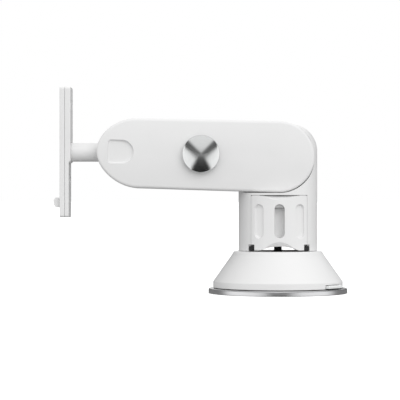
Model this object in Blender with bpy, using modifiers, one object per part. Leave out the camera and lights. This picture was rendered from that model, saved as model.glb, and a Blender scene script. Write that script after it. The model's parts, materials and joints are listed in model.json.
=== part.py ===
"""Suction-cup arm mount for a baby monitor camera.

A suction base on a stick-on disc carries a column that pans. A flip-up lever in the column draws the
suction pad up, an arm pitches on the column's head, and one knob clamps the arm on its pivot and on
the ball stem of the holder plate. +Z is up, the arm points to -X and the lever faces -Y.
"""

import math

import bmesh
import bpy
from mathutils import Matrix, Vector

MM = 0.001
GAP = 0.3 * MM

# Base, on the axis x = y = 0.
DISC_R, DISC_TOP = 34.55 * MM, 2.5 * MM
PAD_R = 30.2 * MM
SKIRT_R, SKIRT_RIM_TOP = 32.3 * MM, 5.9 * MM
CONE_TOP_R, CONE_TOP = 23.1 * MM, 18.9 * MM
DECK_TOP, DECK_UNDER, DECK_HOLE_R = 21.0 * MM, 18.7 * MM, 17.0 * MM
TAB_ANGLE, TAB_WIDTH = math.radians(55 - 90), 12.6 * MM

# Column.
COLUMN_R, COLUMN_WALL = 19.6 * MM, 2.2 * MM
COLUMN_FOOT, COLUMN_TOP = 21.3 * MM, 84.3 * MM
HEAD_CORNER_R = 13.5 * MM
WEB_HALF = 8.0 * MM
PIVOT_Z = 67.7 * MM
CHEEK_POCKET_R = 18.2 * MM
ARM_UP = math.radians(46.5)
FOOT_SCREWS = [(x * 13 * MM, y * 7.4 * MM) for x in (-1, 1) for y in (-1, 1)]
SEAM_SCREW_X, SEAM_SCREW_Z = 13.8 * MM, 38.0 * MM

# Suction lever in the column's front window.
LEVER_HALF_WIDTH = 13.5 * MM
LEVER_FOOT, LEVER_TOP = 21.6 * MM, 48.4 * MM
LEVER_INNER_R = 16.9 * MM
LEVER_AXIS_Y, LEVER_AXIS_Z, LEVER_BARREL_R = -15.6 * MM, 44.4 * MM, 4.0 * MM
SLOT_WIDTH, SLOT_FOOT, SLOT_TOP, SLOT_ANGLE = 4.9 * MM, 27.7 * MM, 44.2 * MM, math.radians(31)
SIDE_SLOT_FLOOR, MIDDLE_SLOT_FLOOR = 18.3 * MM, 13.2 * MM
ARCH_HALF_WIDTH, REAR_ARCH_HALF_WIDTH, ARCH_RISE = 10.6 * MM, 9.5 * MM, 2.5 * MM
STOP_X, STOP_WIDTH, STOP_TOP = 13.6 * MM, 2.2 * MM, 23.7 * MM
STOP_SWING = 0.8 * MM  # over the stops, because the lever's foot dips as it starts to swing out

# Pull stem on the base's axis.
ROD_R, ROD_FOOT, ROD_TOP = 1.2 * MM, 8.3 * MM, 45.6 * MM
YOKE_LOW, YOKE_HIGH = 40.4 * MM, 42.9 * MM

# Arm, in its own frame: origin on the pivot, -X towards the nose.
ARM_TILT = math.radians(1.5)
ARM_END_R, ARM_NOSE_R, ARM_NOSE_X, ARM_NOSE_LENGTH = 17.6 * MM, 17.2 * MM, -70 * MM, 20 * MM
ARM_HALF, ARM_WALL, ARM_SEAM = 15 * MM, 2.2 * MM, 0.4 * MM
NOSE_POWER_ABOVE, NOSE_POWER_BELOW = 1.95, 1.75
SCOOP_LEFT, SCOOP_RIGHT, SCOOP_HALF, SCOOP_DEPTH = -84.4 * MM, -71.6 * MM, 5.9 * MM, 1.6 * MM
CHEEK_FACE = 9.0 * MM
WEB_ROOM_X = -20.9 * MM
KNOB_X, KNOB_Z, KNOB_R = -38.4 * MM, 0.3 * MM, 9.25 * MM
DOWEL_X, DOWEL_Z = -58 * MM, 10.5 * MM
BALL_X, BALL_Z, BALL_R = -80 * MM, 0.4 * MM, 9.0 * MM
FORK_HALF = 6.4 * MM

# Holder, in the ball's frame: origin at the ball's centre, plates across -X.
STEM_R = 4.65 * MM
PLATE_HALF_WIDTH, PLATE_HALF_HEIGHT, PLATE_CORNER_R = 8 * MM, 32.4 * MM, 1.2 * MM
PAD_FACE_X, PAD_FOOT = -23.1 * MM, -5.2 * MM
BACK_PLATE_X, BACK_THICKNESS = -23.9 * MM, 2.1 * MM
FRONT_PLATE_X, FRONT_THICKNESS = -26.3 * MM, 2.2 * MM
PLATE_SCREWS = [(y * 4.8 * MM, z * MM) for y in (-1, 1) for z in (-13, 24)]
SCREW_SEAT_X, FLANGE_R, FLANGE_ROOM_X = -24.9 * MM, 6.2 * MM, -24.8 * MM
CATCH_HALF_WIDTH, CATCH_TOP, CATCH_FOOT = 4.5 * MM, -22.6 * MM, -27.5 * MM
CATCH_NOSE_X, CATCH_REAR_X, CATCH_FLOOR_X = -31.7 * MM, -26.9 * MM, -24.7 * MM

for old in list(bpy.data.objects):
    bpy.data.objects.remove(old, do_unlink=True)
PARTS = bpy.data.collections.new("camera_mount")
CUTTERS = bpy.data.collections.new("cutters")
for group in (PARTS, CUTTERS):
    bpy.context.scene.collection.children.link(group)


def material(name, colour, roughness, metallic=0.0):
    made = bpy.data.materials.new(name)
    made.use_nodes = True
    shader = made.node_tree.nodes["Principled BSDF"]
    shader.inputs["Base Color"].default_value = (*colour, 1)
    shader.inputs["Roughness"].default_value = roughness
    shader.inputs["Metallic"].default_value = metallic
    made.diffuse_color = (*colour, 1)
    return made


WHITE = material("white_plastic", (0.86, 0.86, 0.86), 0.35)
SILVER = material("silver_metal", (0.55, 0.55, 0.56), 0.3, 1.0)
POLISHED = material("polished_metal", (0.75, 0.76, 0.76), 0.12, 1.0)
STEEL = material("steel", (0.5, 0.5, 0.5), 0.35, 1.0)
BLACK = material("black_plastic", (0.02, 0.02, 0.02), 0.5)
SOFT = material("soft_plastic", (0.8, 0.81, 0.81), 0.45)
BRASS = material("brass", (0.7, 0.52, 0.25), 0.35, 1.0)


def pivot(name, place=(0, 0, 0), parent=None, turn=(0, 0, 0)):
    """An empty on a joint's axis; everything that moves with the joint is its child."""
    empty = bpy.data.objects.new(name, None)
    empty.location, empty.rotation_euler, empty.parent = place, turn, parent
    PARTS.objects.link(empty)
    return empty


def made(name, mesh, on, look):
    """The named part, or with no look a cutter, placed in the frame of the empty it is on."""
    obj = bpy.data.objects.new(name, mesh)
    obj.parent = on
    mesh.shade_smooth()
    mesh.set_sharp_from_angle(angle=math.radians(35))
    if look:
        mesh.materials.append(look)
        PARTS.objects.link(obj)
    else:
        CUTTERS.objects.link(obj)
        obj.hide_render, obj.display_type = True, "WIRE"
    return obj


def from_bmesh(name, shape, on, look):
    mesh = bpy.data.meshes.new(name)
    shape.to_mesh(mesh)
    shape.free()
    return made(name, mesh, on, look)


def box(name, low, high, on=None, look=None):
    low, high = Vector(low), Vector(high)
    shape = bmesh.new()
    bmesh.ops.create_cube(shape, size=1)
    bmesh.ops.transform(
        shape, matrix=Matrix.LocRotScale((low + high) / 2, None, high - low), verts=shape.verts
    )
    return from_bmesh(name, shape, on, look)


TURN_TO = {
    "X": Matrix.Rotation(math.pi / 2, 4, "Y"),
    "Y": Matrix.Rotation(-math.pi / 2, 4, "X"),
    "Z": Matrix.Identity(4),
}


def rod(name, radius, start, end, axis="Z", centre=(0, 0, 0), on=None, look=None, sides=18):
    """A cylinder along an axis through centre, from start to end measured from the centre."""
    shape = bmesh.new()
    middle = Matrix.Translation((0, 0, (start + end) / 2))
    bmesh.ops.create_cone(
        shape, cap_ends=True, segments=sides, radius1=radius, radius2=radius, depth=end - start
    )
    bmesh.ops.transform(
        shape, matrix=Matrix.Translation(centre) @ TURN_TO[axis] @ middle, verts=shape.verts
    )
    return from_bmesh(name, shape, on, look)


def ball(name, radius, on=None, look=None, sides=22):
    shape = bmesh.new()
    bmesh.ops.create_uvsphere(shape, u_segments=sides, v_segments=sides // 2, radius=radius)
    return from_bmesh(name, shape, on, look)


def turned(name, profile, axis="Z", centre=(0, 0, 0), on=None, look=None, sides=32):
    """A profile of (radius, height), down the outer side first, screwed about an axis."""
    mesh = bpy.data.meshes.new(name)
    edges = [(i, i + 1) for i in range(len(profile) - 1)]
    if profile[0][0] > 0:
        edges.append((len(profile) - 1, 0))
    mesh.from_pydata([(r, 0, h) for r, h in profile], edges, [])
    obj = made(name, mesh, on, look)
    obj.matrix_basis = Matrix.Translation(centre) @ TURN_TO[axis]
    screw = obj.modifiers.new("turn", "SCREW")
    screw.steps = screw.render_steps = sides
    screw.use_merge_vertices, screw.merge_threshold = True, 0.01 * MM
    screw.use_smooth_shade = True
    return obj


def prism(name, outline, low, high, on=None, look=None):
    """A flat outline of (x, z) points, as a filled 2D curve extruded along Y from low to high."""
    curve = bpy.data.curves.new(name, "CURVE")
    curve.dimensions, curve.fill_mode, curve.extrude = "2D", "BOTH", (high - low) / 2
    spline = curve.splines.new("POLY")
    spline.points.add(len(outline) - 1)
    for point, (x, z) in zip(spline.points, outline):
        point.co = (x, z, 0, 1)
    spline.use_cyclic_u = True
    drawn = bpy.data.objects.new(name + "_outline", curve)
    CUTTERS.objects.link(drawn)
    graph = bpy.context.evaluated_depsgraph_get()
    mesh = bpy.data.meshes.new_from_object(drawn.evaluated_get(graph))
    bpy.data.objects.remove(drawn, do_unlink=True)
    shape = bmesh.new()
    shape.from_mesh(mesh)
    bpy.data.meshes.remove(mesh)
    bmesh.ops.remove_doubles(shape, verts=shape.verts, dist=0.001 * MM)
    bmesh.ops.dissolve_limit(shape, angle_limit=0.01, verts=shape.verts, edges=shape.edges)
    upright = Matrix.Translation((0, (low + high) / 2, 0)) @ Matrix.Rotation(math.pi / 2, 4, "X")
    bmesh.ops.transform(shape, matrix=upright, verts=shape.verts)
    bmesh.ops.recalc_face_normals(shape, faces=shape.faces)
    return from_bmesh(name, shape, on, look)


def coil(name, radius, wire_r, start, end, turns, axis, centre, on, look, per_turn=8):
    """A helical spring whose wire centre runs from start to end along the axis."""
    curve = bpy.data.curves.new(name, "CURVE")
    curve.dimensions, curve.bevel_depth = "3D", wire_r
    curve.bevel_resolution, curve.use_fill_caps = 0, True
    spline = curve.splines.new("POLY")
    count = turns * per_turn
    spline.points.add(count)
    for i, point in enumerate(spline.points):
        angle = 2 * math.pi * i / per_turn
        height = start + (end - start) * i / count
        point.co = (radius * math.cos(angle), radius * math.sin(angle), height, 1)
    obj = bpy.data.objects.new(name, curve)
    obj.parent = on
    obj.matrix_basis = Matrix.Translation(centre) @ TURN_TO[axis]
    curve.materials.append(look)
    PARTS.objects.link(obj)
    return obj


def combine(obj, operation, others, solver):
    for other in others:
        modifier = obj.modifiers.new(other.name, "BOOLEAN")
        modifier.operation, modifier.object, modifier.solver = operation, other, solver
    return obj


def cut(obj, *others, solver="EXACT"):
    return combine(obj, "DIFFERENCE", others, solver)


def join(obj, *others, solver="EXACT"):
    return combine(obj, "UNION", others, solver)


def common(obj, *others, solver="EXACT"):
    return combine(obj, "INTERSECT", others, solver)


def arc(centre_x, centre_z, radius, start, end, steps):
    """Points of (x, z) on an arc, with angles in degrees from +X towards +Z."""
    angles = [math.radians(start + (end - start) * i / steps) for i in range(steps + 1)]
    return [(centre_x + radius * math.cos(a), centre_z + radius * math.sin(a)) for a in angles]


def capsule(width, foot, top, steps=6):
    """Outline of an upright slot with round ends."""
    r = width / 2
    return arc(0, top - r, r, 0, 180, steps) + arc(0, foot + r, r, 180, 360, steps)


def base():
    turned(
        "base_disc",
        [
            (0, DISC_TOP),
            (DISC_R - 3.0 * MM, DISC_TOP),
            (DISC_R - 0.4 * MM, DISC_TOP - 0.25 * MM),
            (DISC_R, DISC_TOP - 0.6 * MM),
            (DISC_R, 0.3 * MM),
            (DISC_R - 0.3 * MM, 0),
            (DISC_R - 2.2 * MM, 0),
            (DISC_R - 2.2 * MM, 0.9 * MM),
            (0, 0.9 * MM),
        ],
        look=SILVER,
        sides=48,
    )
    rod("adhesive_pad", DISC_R - 2.5 * MM, 0, 0.9 * MM - GAP, look=SOFT, sides=40)
    skirt = turned(
        "skirt",
        [
            (DECK_HOLE_R, DECK_TOP),
            (21.4 * MM, DECK_TOP),
            (22.5 * MM, 20.4 * MM),
            (CONE_TOP_R, CONE_TOP),
            (SKIRT_R - 0.25 * MM, SKIRT_RIM_TOP + 0.5 * MM),
            (SKIRT_R, SKIRT_RIM_TOP),
            (SKIRT_R, DISC_TOP + GAP),
            (SKIRT_R - 1.7 * MM, DISC_TOP + GAP),
            (SKIRT_R - 1.9 * MM, SKIRT_RIM_TOP),
            (21.2 * MM, 17.8 * MM),
            (20.4 * MM, DECK_UNDER),
            (DECK_HOLE_R, DECK_UNDER),
        ],
        look=WHITE,
        sides=48,
    )
    pad = turned(
        "suction_pad",
        [
            (PAD_R, 4.6 * MM),
            (PAD_R, DISC_TOP + GAP),
            (10.4 * MM, DISC_TOP + GAP),
            (10.4 * MM, 5.9 * MM),
            (13 * MM, 5.9 * MM),
            (PAD_R - 4 * MM, 5.0 * MM),
        ],
        look=SOFT,
        sides=40,
    )
    around = Matrix.Rotation(TAB_ANGLE, 4, "Z")
    tab = box(
        "tab", (PAD_R - 2 * MM, -TAB_WIDTH / 2, 3.1 * MM), (33.7 * MM, TAB_WIDTH / 2, 4.5 * MM)
    )
    notch_half = TAB_WIDTH / 2 + 0.4 * MM
    notch = box("tab_notch", (SKIRT_R - 5 * MM, -notch_half, 0), (SKIRT_R + 2 * MM, notch_half, 4.9 * MM))
    tab.matrix_basis = notch.matrix_basis = around
    join(pad, tab)
    cut(skirt, notch)


def head_profile(inset, foot):
    """Half of the column's outline, down its outer side: a flat top, a large round shoulder, a straight wall."""
    shoulder = arc(COLUMN_R - HEAD_CORNER_R, COLUMN_TOP - HEAD_CORNER_R, HEAD_CORNER_R - inset, 90, 0, 8)
    return [(0, COLUMN_TOP - inset)] + shoulder + [(COLUMN_R - inset, foot), (0, foot)]


def column_hollow(on):
    """The room inside the column, less the screw bosses and the pivot boss."""
    hollow = rod("column_room", COLUMN_R - COLUMN_WALL, 15 * MM, 46.4 * MM, on=on, sides=40)
    head = turned("head_room", head_profile(2.5 * MM, 46 * MM), on=on, sides=40)
    common(head, box("head_room_span", (-20 * MM, -5.8 * MM, 40 * MM), (20 * MM, 5.8 * MM, 90 * MM), on))
    boss = rod("pivot_boss", 8.5 * MM, -10 * MM, 10 * MM, "Y", (0, 0, PIVOT_Z), on, sides=32)
    join(hollow, cut(head, boss))
    lug = box("lug_root", (-2.2 * MM, -11.2 * MM, 42.4 * MM), (2.2 * MM, -8 * MM, 50 * MM), on)
    cut(hollow, lug)
    for i, (x, y) in enumerate(FOOT_SCREWS):
        cut(hollow, rod(f"foot_boss_{i}", 2.8 * MM, 10 * MM, 26 * MM, "Z", (x, y, 0), on, sides=20))
    for side in (-1, 1):
        centre = (side * SEAM_SCREW_X, 0, SEAM_SCREW_Z)
        cut(hollow, rod(f"seam_boss_{side}", 3.1 * MM, -20 * MM, 20 * MM, "Y", centre, on, sides=20))
    return hollow


def cheek_pocket(side, on):
    """Room for one arm cheek beside the column's web, open on the side that the arm swings through."""
    far, near = 25 * MM, WEB_HALF
    low, high = (near, far) if side > 0 else (-far, -near)
    r = CHEEK_POCKET_R
    tangent = math.pi / 2 - ARM_UP
    x, z = r * math.cos(tangent), r * math.sin(tangent)
    reach = 22 * MM
    swing = [(0, -r), (-30 * MM, -r), (-30 * MM, 30 * MM), (x - reach * math.sin(tangent), 30 * MM)]
    swing += [(x - reach * math.sin(tangent), z + reach * math.cos(tangent)), (x, z), (0, 0)]
    pocket = prism(f"swing_room_{side}", [(px, pz + PIVOT_Z) for px, pz in swing], low, high, on)
    circle = rod(f"cheek_room_{side}", r, low, high, "Y", (0, 0, PIVOT_Z), on, sides=40)
    return join(pocket, circle)


def arch(name, half, low, high, on):
    """Cutter for the low finger arch at the column's foot, a segment of a large circle."""
    radius = (half**2 + ARCH_RISE**2) / (2 * ARCH_RISE)
    centre = (0, 0, COLUMN_FOOT + ARCH_RISE - radius)
    return rod(name, radius, low, high, "Y", centre, on, sides=96)


def column_shell(side, on):
    """Half of the column: side -1 is the front, with the lever's window, and 1 is the rear."""
    name = "column_front_shell" if side < 0 else "column_rear_shell"
    shell = turned(name, head_profile(0, COLUMN_FOOT), on=on, look=WHITE, sides=48)
    cut(shell, column_hollow(on), cheek_pocket(-1, on), cheek_pocket(1, on))
    cut(shell, rod(name + "_pivot_bore", 5.9 * MM, -30 * MM, 30 * MM, "Y", (0, 0, PIVOT_Z), on))
    for i, (x, y) in enumerate(FOOT_SCREWS):
        cut(shell, rod(f"foot_bore_{i}", 1.4 * MM, 10 * MM, 25.2 * MM, "Z", (x, y, 0), on, sides=12))
    for end in (-1, 1):
        centre = (end * SEAM_SCREW_X, 0, SEAM_SCREW_Z)
        cut(
            shell,
            rod(f"seam_bore_{end}", 1.3 * MM, -6.4 * MM, 20 * MM, "Y", centre, on, sides=12),
            rod(f"seam_head_room_{end}", 2.5 * MM, 6.4 * MM, 20 * MM, "Y", centre, on, sides=16),
        )
    if side < 0:
        window = LEVER_HALF_WIDTH + 0.35 * MM
        corner = STOP_X + STOP_WIDTH / 2 + GAP
        cut(
            shell,
            box("window", (-window, -25 * MM, 15 * MM), (window, -9.9 * MM, LEVER_TOP + 0.4 * MM), on),
            box("stop_room", (-corner, -25 * MM, 15 * MM), (corner, -11.9 * MM, STOP_TOP + STOP_SWING), on),
            box("beyond_seam", (-40 * MM, -0.15 * MM, 0), (40 * MM, 40 * MM, 100 * MM), on),
        )
        lug = box("lug_neck", (-2.2 * MM, LEVER_AXIS_Y, 42.5 * MM), (2.2 * MM, -8.5 * MM, 44.8 * MM), on)
        hub = rod("lug_hub", 1.9 * MM, -2.2 * MM, 2.2 * MM, "X", (0, LEVER_AXIS_Y, LEVER_AXIS_Z), on)
        join(shell, lug, hub)
        centre = (0, LEVER_AXIS_Y, LEVER_AXIS_Z)
        cut(shell, rod("lug_bore", 0.95 * MM, -5 * MM, 5 * MM, "X", centre, on, sides=20))
    else:
        cut(
            shell,
            arch("rear_arch", REAR_ARCH_HALF_WIDTH, 10 * MM, 25 * MM, on),
            box("before_seam", (-40 * MM, -40 * MM, 0), (40 * MM, 0.15 * MM, 100 * MM), on),
        )
    return shell


def screw(name, head_r, head_h, shank_r, length, axis, centre, on, look=STEEL):
    """A pan head from 0 to head_h below the centre, and a shank that runs up from it."""
    profile = [(0, length), (shank_r, length), (shank_r, 0), (head_r, 0), (head_r, -head_h * 0.6)]
    profile += [(head_r * 0.7, -head_h), (0, -head_h)]
    return turned(name, profile, axis, centre, on, look, sides=14)


def column(on):
    turntable = turned(
        "turntable",
        [(DECK_HOLE_R - GAP, 20.7 * MM), (DECK_HOLE_R - GAP, 18.3 * MM), (2.3 * MM, 18.3 * MM)]
        + [(2.3 * MM, 20.7 * MM)],
        on=on,
        look=WHITE,
        sides=40,
    )
    retainer = turned(
        "swivel_retainer",
        [(19.3 * MM, 18.0 * MM), (19.3 * MM, 16.2 * MM), (10 * MM, 16.2 * MM), (10 * MM, 18.0 * MM)],
        on=on,
        look=BLACK,
    )
    for i, (x, y) in enumerate(FOOT_SCREWS):
        for plate in (turntable, retainer):
            hole = rod(f"{plate.name}_hole_{i}", 1.5 * MM, 10 * MM, 30 * MM, "Z", (x, y, 0), on, sides=12)
            cut(plate, hole)
        screw(f"base_screw_{i + 1}", 2.3 * MM, 1.4 * MM, 1.2 * MM, 8.8 * MM, "Z", (x, y, 15.9 * MM), on)
    column_shell(-1, on)
    column_shell(1, on)
    for name, side in (("column_screw_left", -1), ("column_screw_right", 1)):
        seat = (side * SEAM_SCREW_X, 6.7 * MM, SEAM_SCREW_Z)
        made_screw = screw(name, 2.2 * MM, 1.3 * MM, 1.1 * MM, 12 * MM, "Y", seat, on)
        made_screw.matrix_basis = Matrix.Translation(seat) @ Matrix.Rotation(math.pi / 2, 4, "X")
    turned(
        "rod_bush",
        [(1.95 * MM, 23.2 * MM), (1.95 * MM, 18.4 * MM), (1.4 * MM, 18.4 * MM), (1.4 * MM, 23.2 * MM)],
        on=on,
        look=BLACK,
        sides=20,
    )
    for name, side in (("lever_stop_left", -1), ("lever_stop_right", 1)):
        x, half = side * STOP_X, STOP_WIDTH / 2
        box(name, (x - half, -13.9 * MM, 21.3 * MM), (x + half, -12.2 * MM, STOP_TOP), on, BLACK)
    bush = [(5.6 * MM, 7.7 * MM), (5.6 * MM, -7.7 * MM), (4.65 * MM, -7.7 * MM), (4.65 * MM, 7.7 * MM)]
    turned("pivot_bush", bush, "Y", (0, 0, PIVOT_Z), on, BLACK, sides=28)
    for name, side in (("friction_washer_front", -1), ("friction_washer_rear", 1)):
        y = side * 8.5 * MM
        ring = [(15 * MM, 0.25 * MM), (15 * MM, -0.25 * MM), (6.5 * MM, -0.25 * MM), (6.5 * MM, 0.25 * MM)]
        turned(name, ring, "Y", (0, y, PIVOT_Z), on, STEEL, sides=28)


def lever(on):
    """The front panel: an arc of the column's wall with a barrel at the top that the pin runs through."""
    up = (0, -LEVER_AXIS_Y, -LEVER_AXIS_Z)
    panel = rod("lever", COLUMN_R, LEVER_FOOT, LEVER_TOP, "Z", up, on, WHITE, sides=48)
    low, high = LEVER_FOOT - LEVER_AXIS_Z, LEVER_TOP - LEVER_AXIS_Z
    half = LEVER_HALF_WIDTH
    hub_low, hub_high = 2.6 * MM, 7.4 * MM
    shape = box("panel_part", (-half, -10 * MM, low - MM), (half, 5.8 * MM, high + MM), on)
    pocket_back = box("pocket_back", (-3.4 * MM, -2.3 * MM, -18.5 * MM), (3.4 * MM, 3.4 * MM, -2.2 * MM), on)
    above = box("above_axis", (-20 * MM, -20 * MM, 0), (20 * MM, 20 * MM, 20 * MM), on)
    barrel = rod("barrel", LEVER_BARREL_R, -20 * MM, 20 * MM, "X", on=on, sides=48)
    common(panel, shape)
    cut(panel, rod("panel_room", LEVER_INNER_R, 0, 46 * MM, "Z", up, on, sides=40))
    cut(panel, cut(above, barrel), solver="MANIFOLD")
    join(panel, pocket_back, solver="MANIFOLD")
    for side in (-1, 1):
        x0, x1 = sorted((side * hub_low, side * hub_high))
        lobe0, lobe1 = sorted((side * 4.8 * MM, side * hub_high))
        join(
            panel,
            rod(f"hub_{side}", 2.2 * MM, x0, x1, "X", on=on),
            box(f"lobe_web_{side}", (lobe0, 0, -0.9 * MM), (lobe1, 2.8 * MM, 0.9 * MM), on),
            rod(f"lobe_{side}", 1.2 * MM, lobe0, lobe1, "X", (0, 2.8 * MM, 0), on, sides=20),
            solver="MANIFOLD",
        )
    corner = STOP_X - STOP_WIDTH / 2 - GAP
    stop_top = STOP_TOP + STOP_SWING - LEVER_AXIS_Z
    cut(
        panel,
        rod("pin_bore", 0.95 * MM, -7.7 * MM, 7.7 * MM, "X", on=on, sides=20),
        rod("lug_room", 2.5 * MM, -hub_low, hub_low, "X", on=on),
        box("neck_room", (-hub_low, -1.2 * MM, -2.4 * MM), (hub_low, 10 * MM, 8 * MM), on),
        box("stop_room_left", (-20 * MM, -9 * MM, -30 * MM), (-corner, 9 * MM, stop_top), on),
        box("stop_room_right", (corner, -9 * MM, -30 * MM), (20 * MM, 9 * MM, stop_top), on),
        solver="MANIFOLD",
    )
    slot = capsule(SLOT_WIDTH, SLOT_FOOT, SLOT_TOP)
    floors = [(-SLOT_ANGLE, SIDE_SLOT_FLOOR), (0, MIDDLE_SLOT_FLOOR), (SLOT_ANGLE, SIDE_SLOT_FLOOR)]
    for i, (angle, floor) in enumerate(floors):
        cutter = prism(f"slot_{i}", slot, -24 * MM, -floor, on)
        cutter.matrix_basis = Matrix.Translation(up) @ Matrix.Rotation(angle, 4, "Z")
        cut(panel, cutter, solver="MANIFOLD")
    finger = arch("finger_arch", ARCH_HALF_WIDTH, -30 * MM, -5 * MM, on)
    finger.matrix_basis = Matrix.Translation(up)
    cut(panel, finger, solver="MANIFOLD")
    rod("lever_pin", 0.8 * MM, -7.4 * MM, 7.4 * MM, "X", on=on, look=STEEL, sides=16)


def stem(on):
    rod("pull_rod", ROD_R, ROD_FOOT, ROD_TOP, on=on, look=STEEL, sides=20)
    boss = turned(
        "pad_boss",
        [(0, 10.6 * MM), (3.1 * MM, 10.6 * MM), (3.1 * MM, 8.6 * MM), (9.2 * MM, 8.6 * MM)]
        + [(9.7 * MM, 8.1 * MM), (9.7 * MM, 6.3 * MM), (0, 6.3 * MM)],
        on=on,
        look=BLACK,
    )
    cut(boss, rod("rod_socket", ROD_R + 0.2 * MM, 8.0 * MM, 12 * MM, on=on, sides=20))
    yoke = rod("lift_yoke", 4.2 * MM, YOKE_LOW, YOKE_HIGH, on=on, look=WHITE, sides=32)
    join(yoke, box("yoke_bar", (-7.6 * MM, -3 * MM, YOKE_LOW), (7.6 * MM, 3 * MM, YOKE_HIGH), on))
    for side in (-1, 1):
        x0, x1 = sorted((side * 4.8 * MM, side * 7.6 * MM))
        join(yoke, box(f"yoke_arm_{side}", (x0, -13.8 * MM, YOKE_LOW), (x1, 0, YOKE_HIGH), on))
    cut(yoke, rod("yoke_bore", ROD_R + 0.2 * MM, 30 * MM, 50 * MM, on=on, sides=20))
    nut = rod("rod_nut", 3.0 * MM, YOKE_HIGH + GAP, 45.2 * MM, on=on, look=STEEL, sides=6)
    cut(nut, rod("nut_bore", ROD_R + 0.2 * MM, 30 * MM, 50 * MM, on=on, sides=20))
    coil("return_spring", 4.0 * MM, 0.35 * MM, 9.4 * MM, 17.6 * MM, 4, "Z", (0, 0, 0), on, STEEL)


def arm_outline(inset=0.0):
    """The arm seen from the side: a round end on the pivot, a slight taper and a blunt, pointed nose."""
    end = arc(0, 0, ARM_END_R - inset, -90, 90, 18)
    length, half = ARM_NOSE_LENGTH - inset, ARM_NOSE_R - inset
    nose = []
    for i in range(19):
        angle = math.radians(90 + 180 * i / 18)
        across, up = -math.cos(angle), math.sin(angle)
        power = 2 / (NOSE_POWER_ABOVE if up > 0 else NOSE_POWER_BELOW)
        nose.append((ARM_NOSE_X - length * abs(across) ** power, math.copysign(half * abs(up) ** power, up)))
    return end + nose


def arm_shell(side, on):
    """Half of the arm: side -1 is the front, with the knob's recess, and 1 is the rear."""
    name = "arm_front_shell" if side < 0 else "arm_rear_shell"
    shell = prism(name, arm_outline(), -ARM_HALF, ARM_HALF, on, WHITE)
    edge = shell.modifiers.new("edges", "BEVEL")
    edge.width, edge.segments, edge.limit_method = 1.3 * MM, 2, "ANGLE"
    edge.angle_limit = math.radians(60)
    knob = (KNOB_X, 0, KNOB_Z)
    socket = (BALL_X, 0, BALL_Z)
    room = prism(name + "_room", arm_outline(ARM_WALL), -12.8 * MM, 12.8 * MM, on)
    common(room, box(name + "_span", (-66 * MM, -20 * MM, -20 * MM), (-23.1 * MM, 20 * MM, 20 * MM), on))
    cut(room, rod(name + "_clamp_boss", 6 * MM, -14 * MM, 14 * MM, "Y", knob, on, sides=32))
    for end in (-1, 1):
        centre = (DOWEL_X, 0, end * DOWEL_Z)
        cut(room, rod(f"{name}_dowel_boss_{end}", 2.8 * MM, -14 * MM, 14 * MM, "Y", centre, on, sides=20))
        cut(shell, rod(f"{name}_dowel_bore_{end}", 1.4 * MM, -4.9 * MM, 4.9 * MM, "Y", centre, on, sides=14))
    web = box(name + "_web_room", (WEB_ROOM_X, -CHEEK_FACE, -20 * MM), (20 * MM, CHEEK_FACE, 20 * MM), on)
    cut(web, rod(name + "_trunnion", 4.4 * MM, -CHEEK_FACE - MM, CHEEK_FACE + MM, "Y", on=on, sides=32))
    fork, wall = FORK_HALF, 13.2 * MM
    cut(
        shell,
        room,
        web,
        box(name + "_chamber", (-79 * MM, -fork, -wall), (-65.9 * MM, fork, wall), on),
        box(name + "_mouth", (-95 * MM, -fork, -20 * MM), (-78.5 * MM, fork, 20 * MM), on),
        rod(name + "_seat", 8.9 * MM, -10.8 * MM, 10.8 * MM, "Y", socket, on, sides=40),
        rod(name + "_bolt_bore", 2.25 * MM, -20 * MM, 20 * MM, "Y", knob, on, sides=20),
        rod(name + "_spring_room", 4.2 * MM, -4.4 * MM, 4.4 * MM, "Y", knob, on),
    )
    return cut(shell, scoop(side, on))


def scoop(side, on):
    """Cutter for a shallow thumb scoop: round towards the knob and nearly straight towards the nose."""
    r, corner = SCOOP_HALF, 1.8 * MM
    outline = arc(SCOOP_RIGHT - r, BALL_Z, r, -90, 90, 10)
    outline += arc(SCOOP_LEFT + corner, BALL_Z + r - corner, corner, 90, 180, 4)
    outline += arc(SCOOP_LEFT + corner, BALL_Z - r + corner, corner, 180, 270, 4)
    low, high = sorted((side * (ARM_HALF - SCOOP_DEPTH), side * 25 * MM))
    return prism(f"scoop_{side}", outline, low, high, on)


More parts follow.
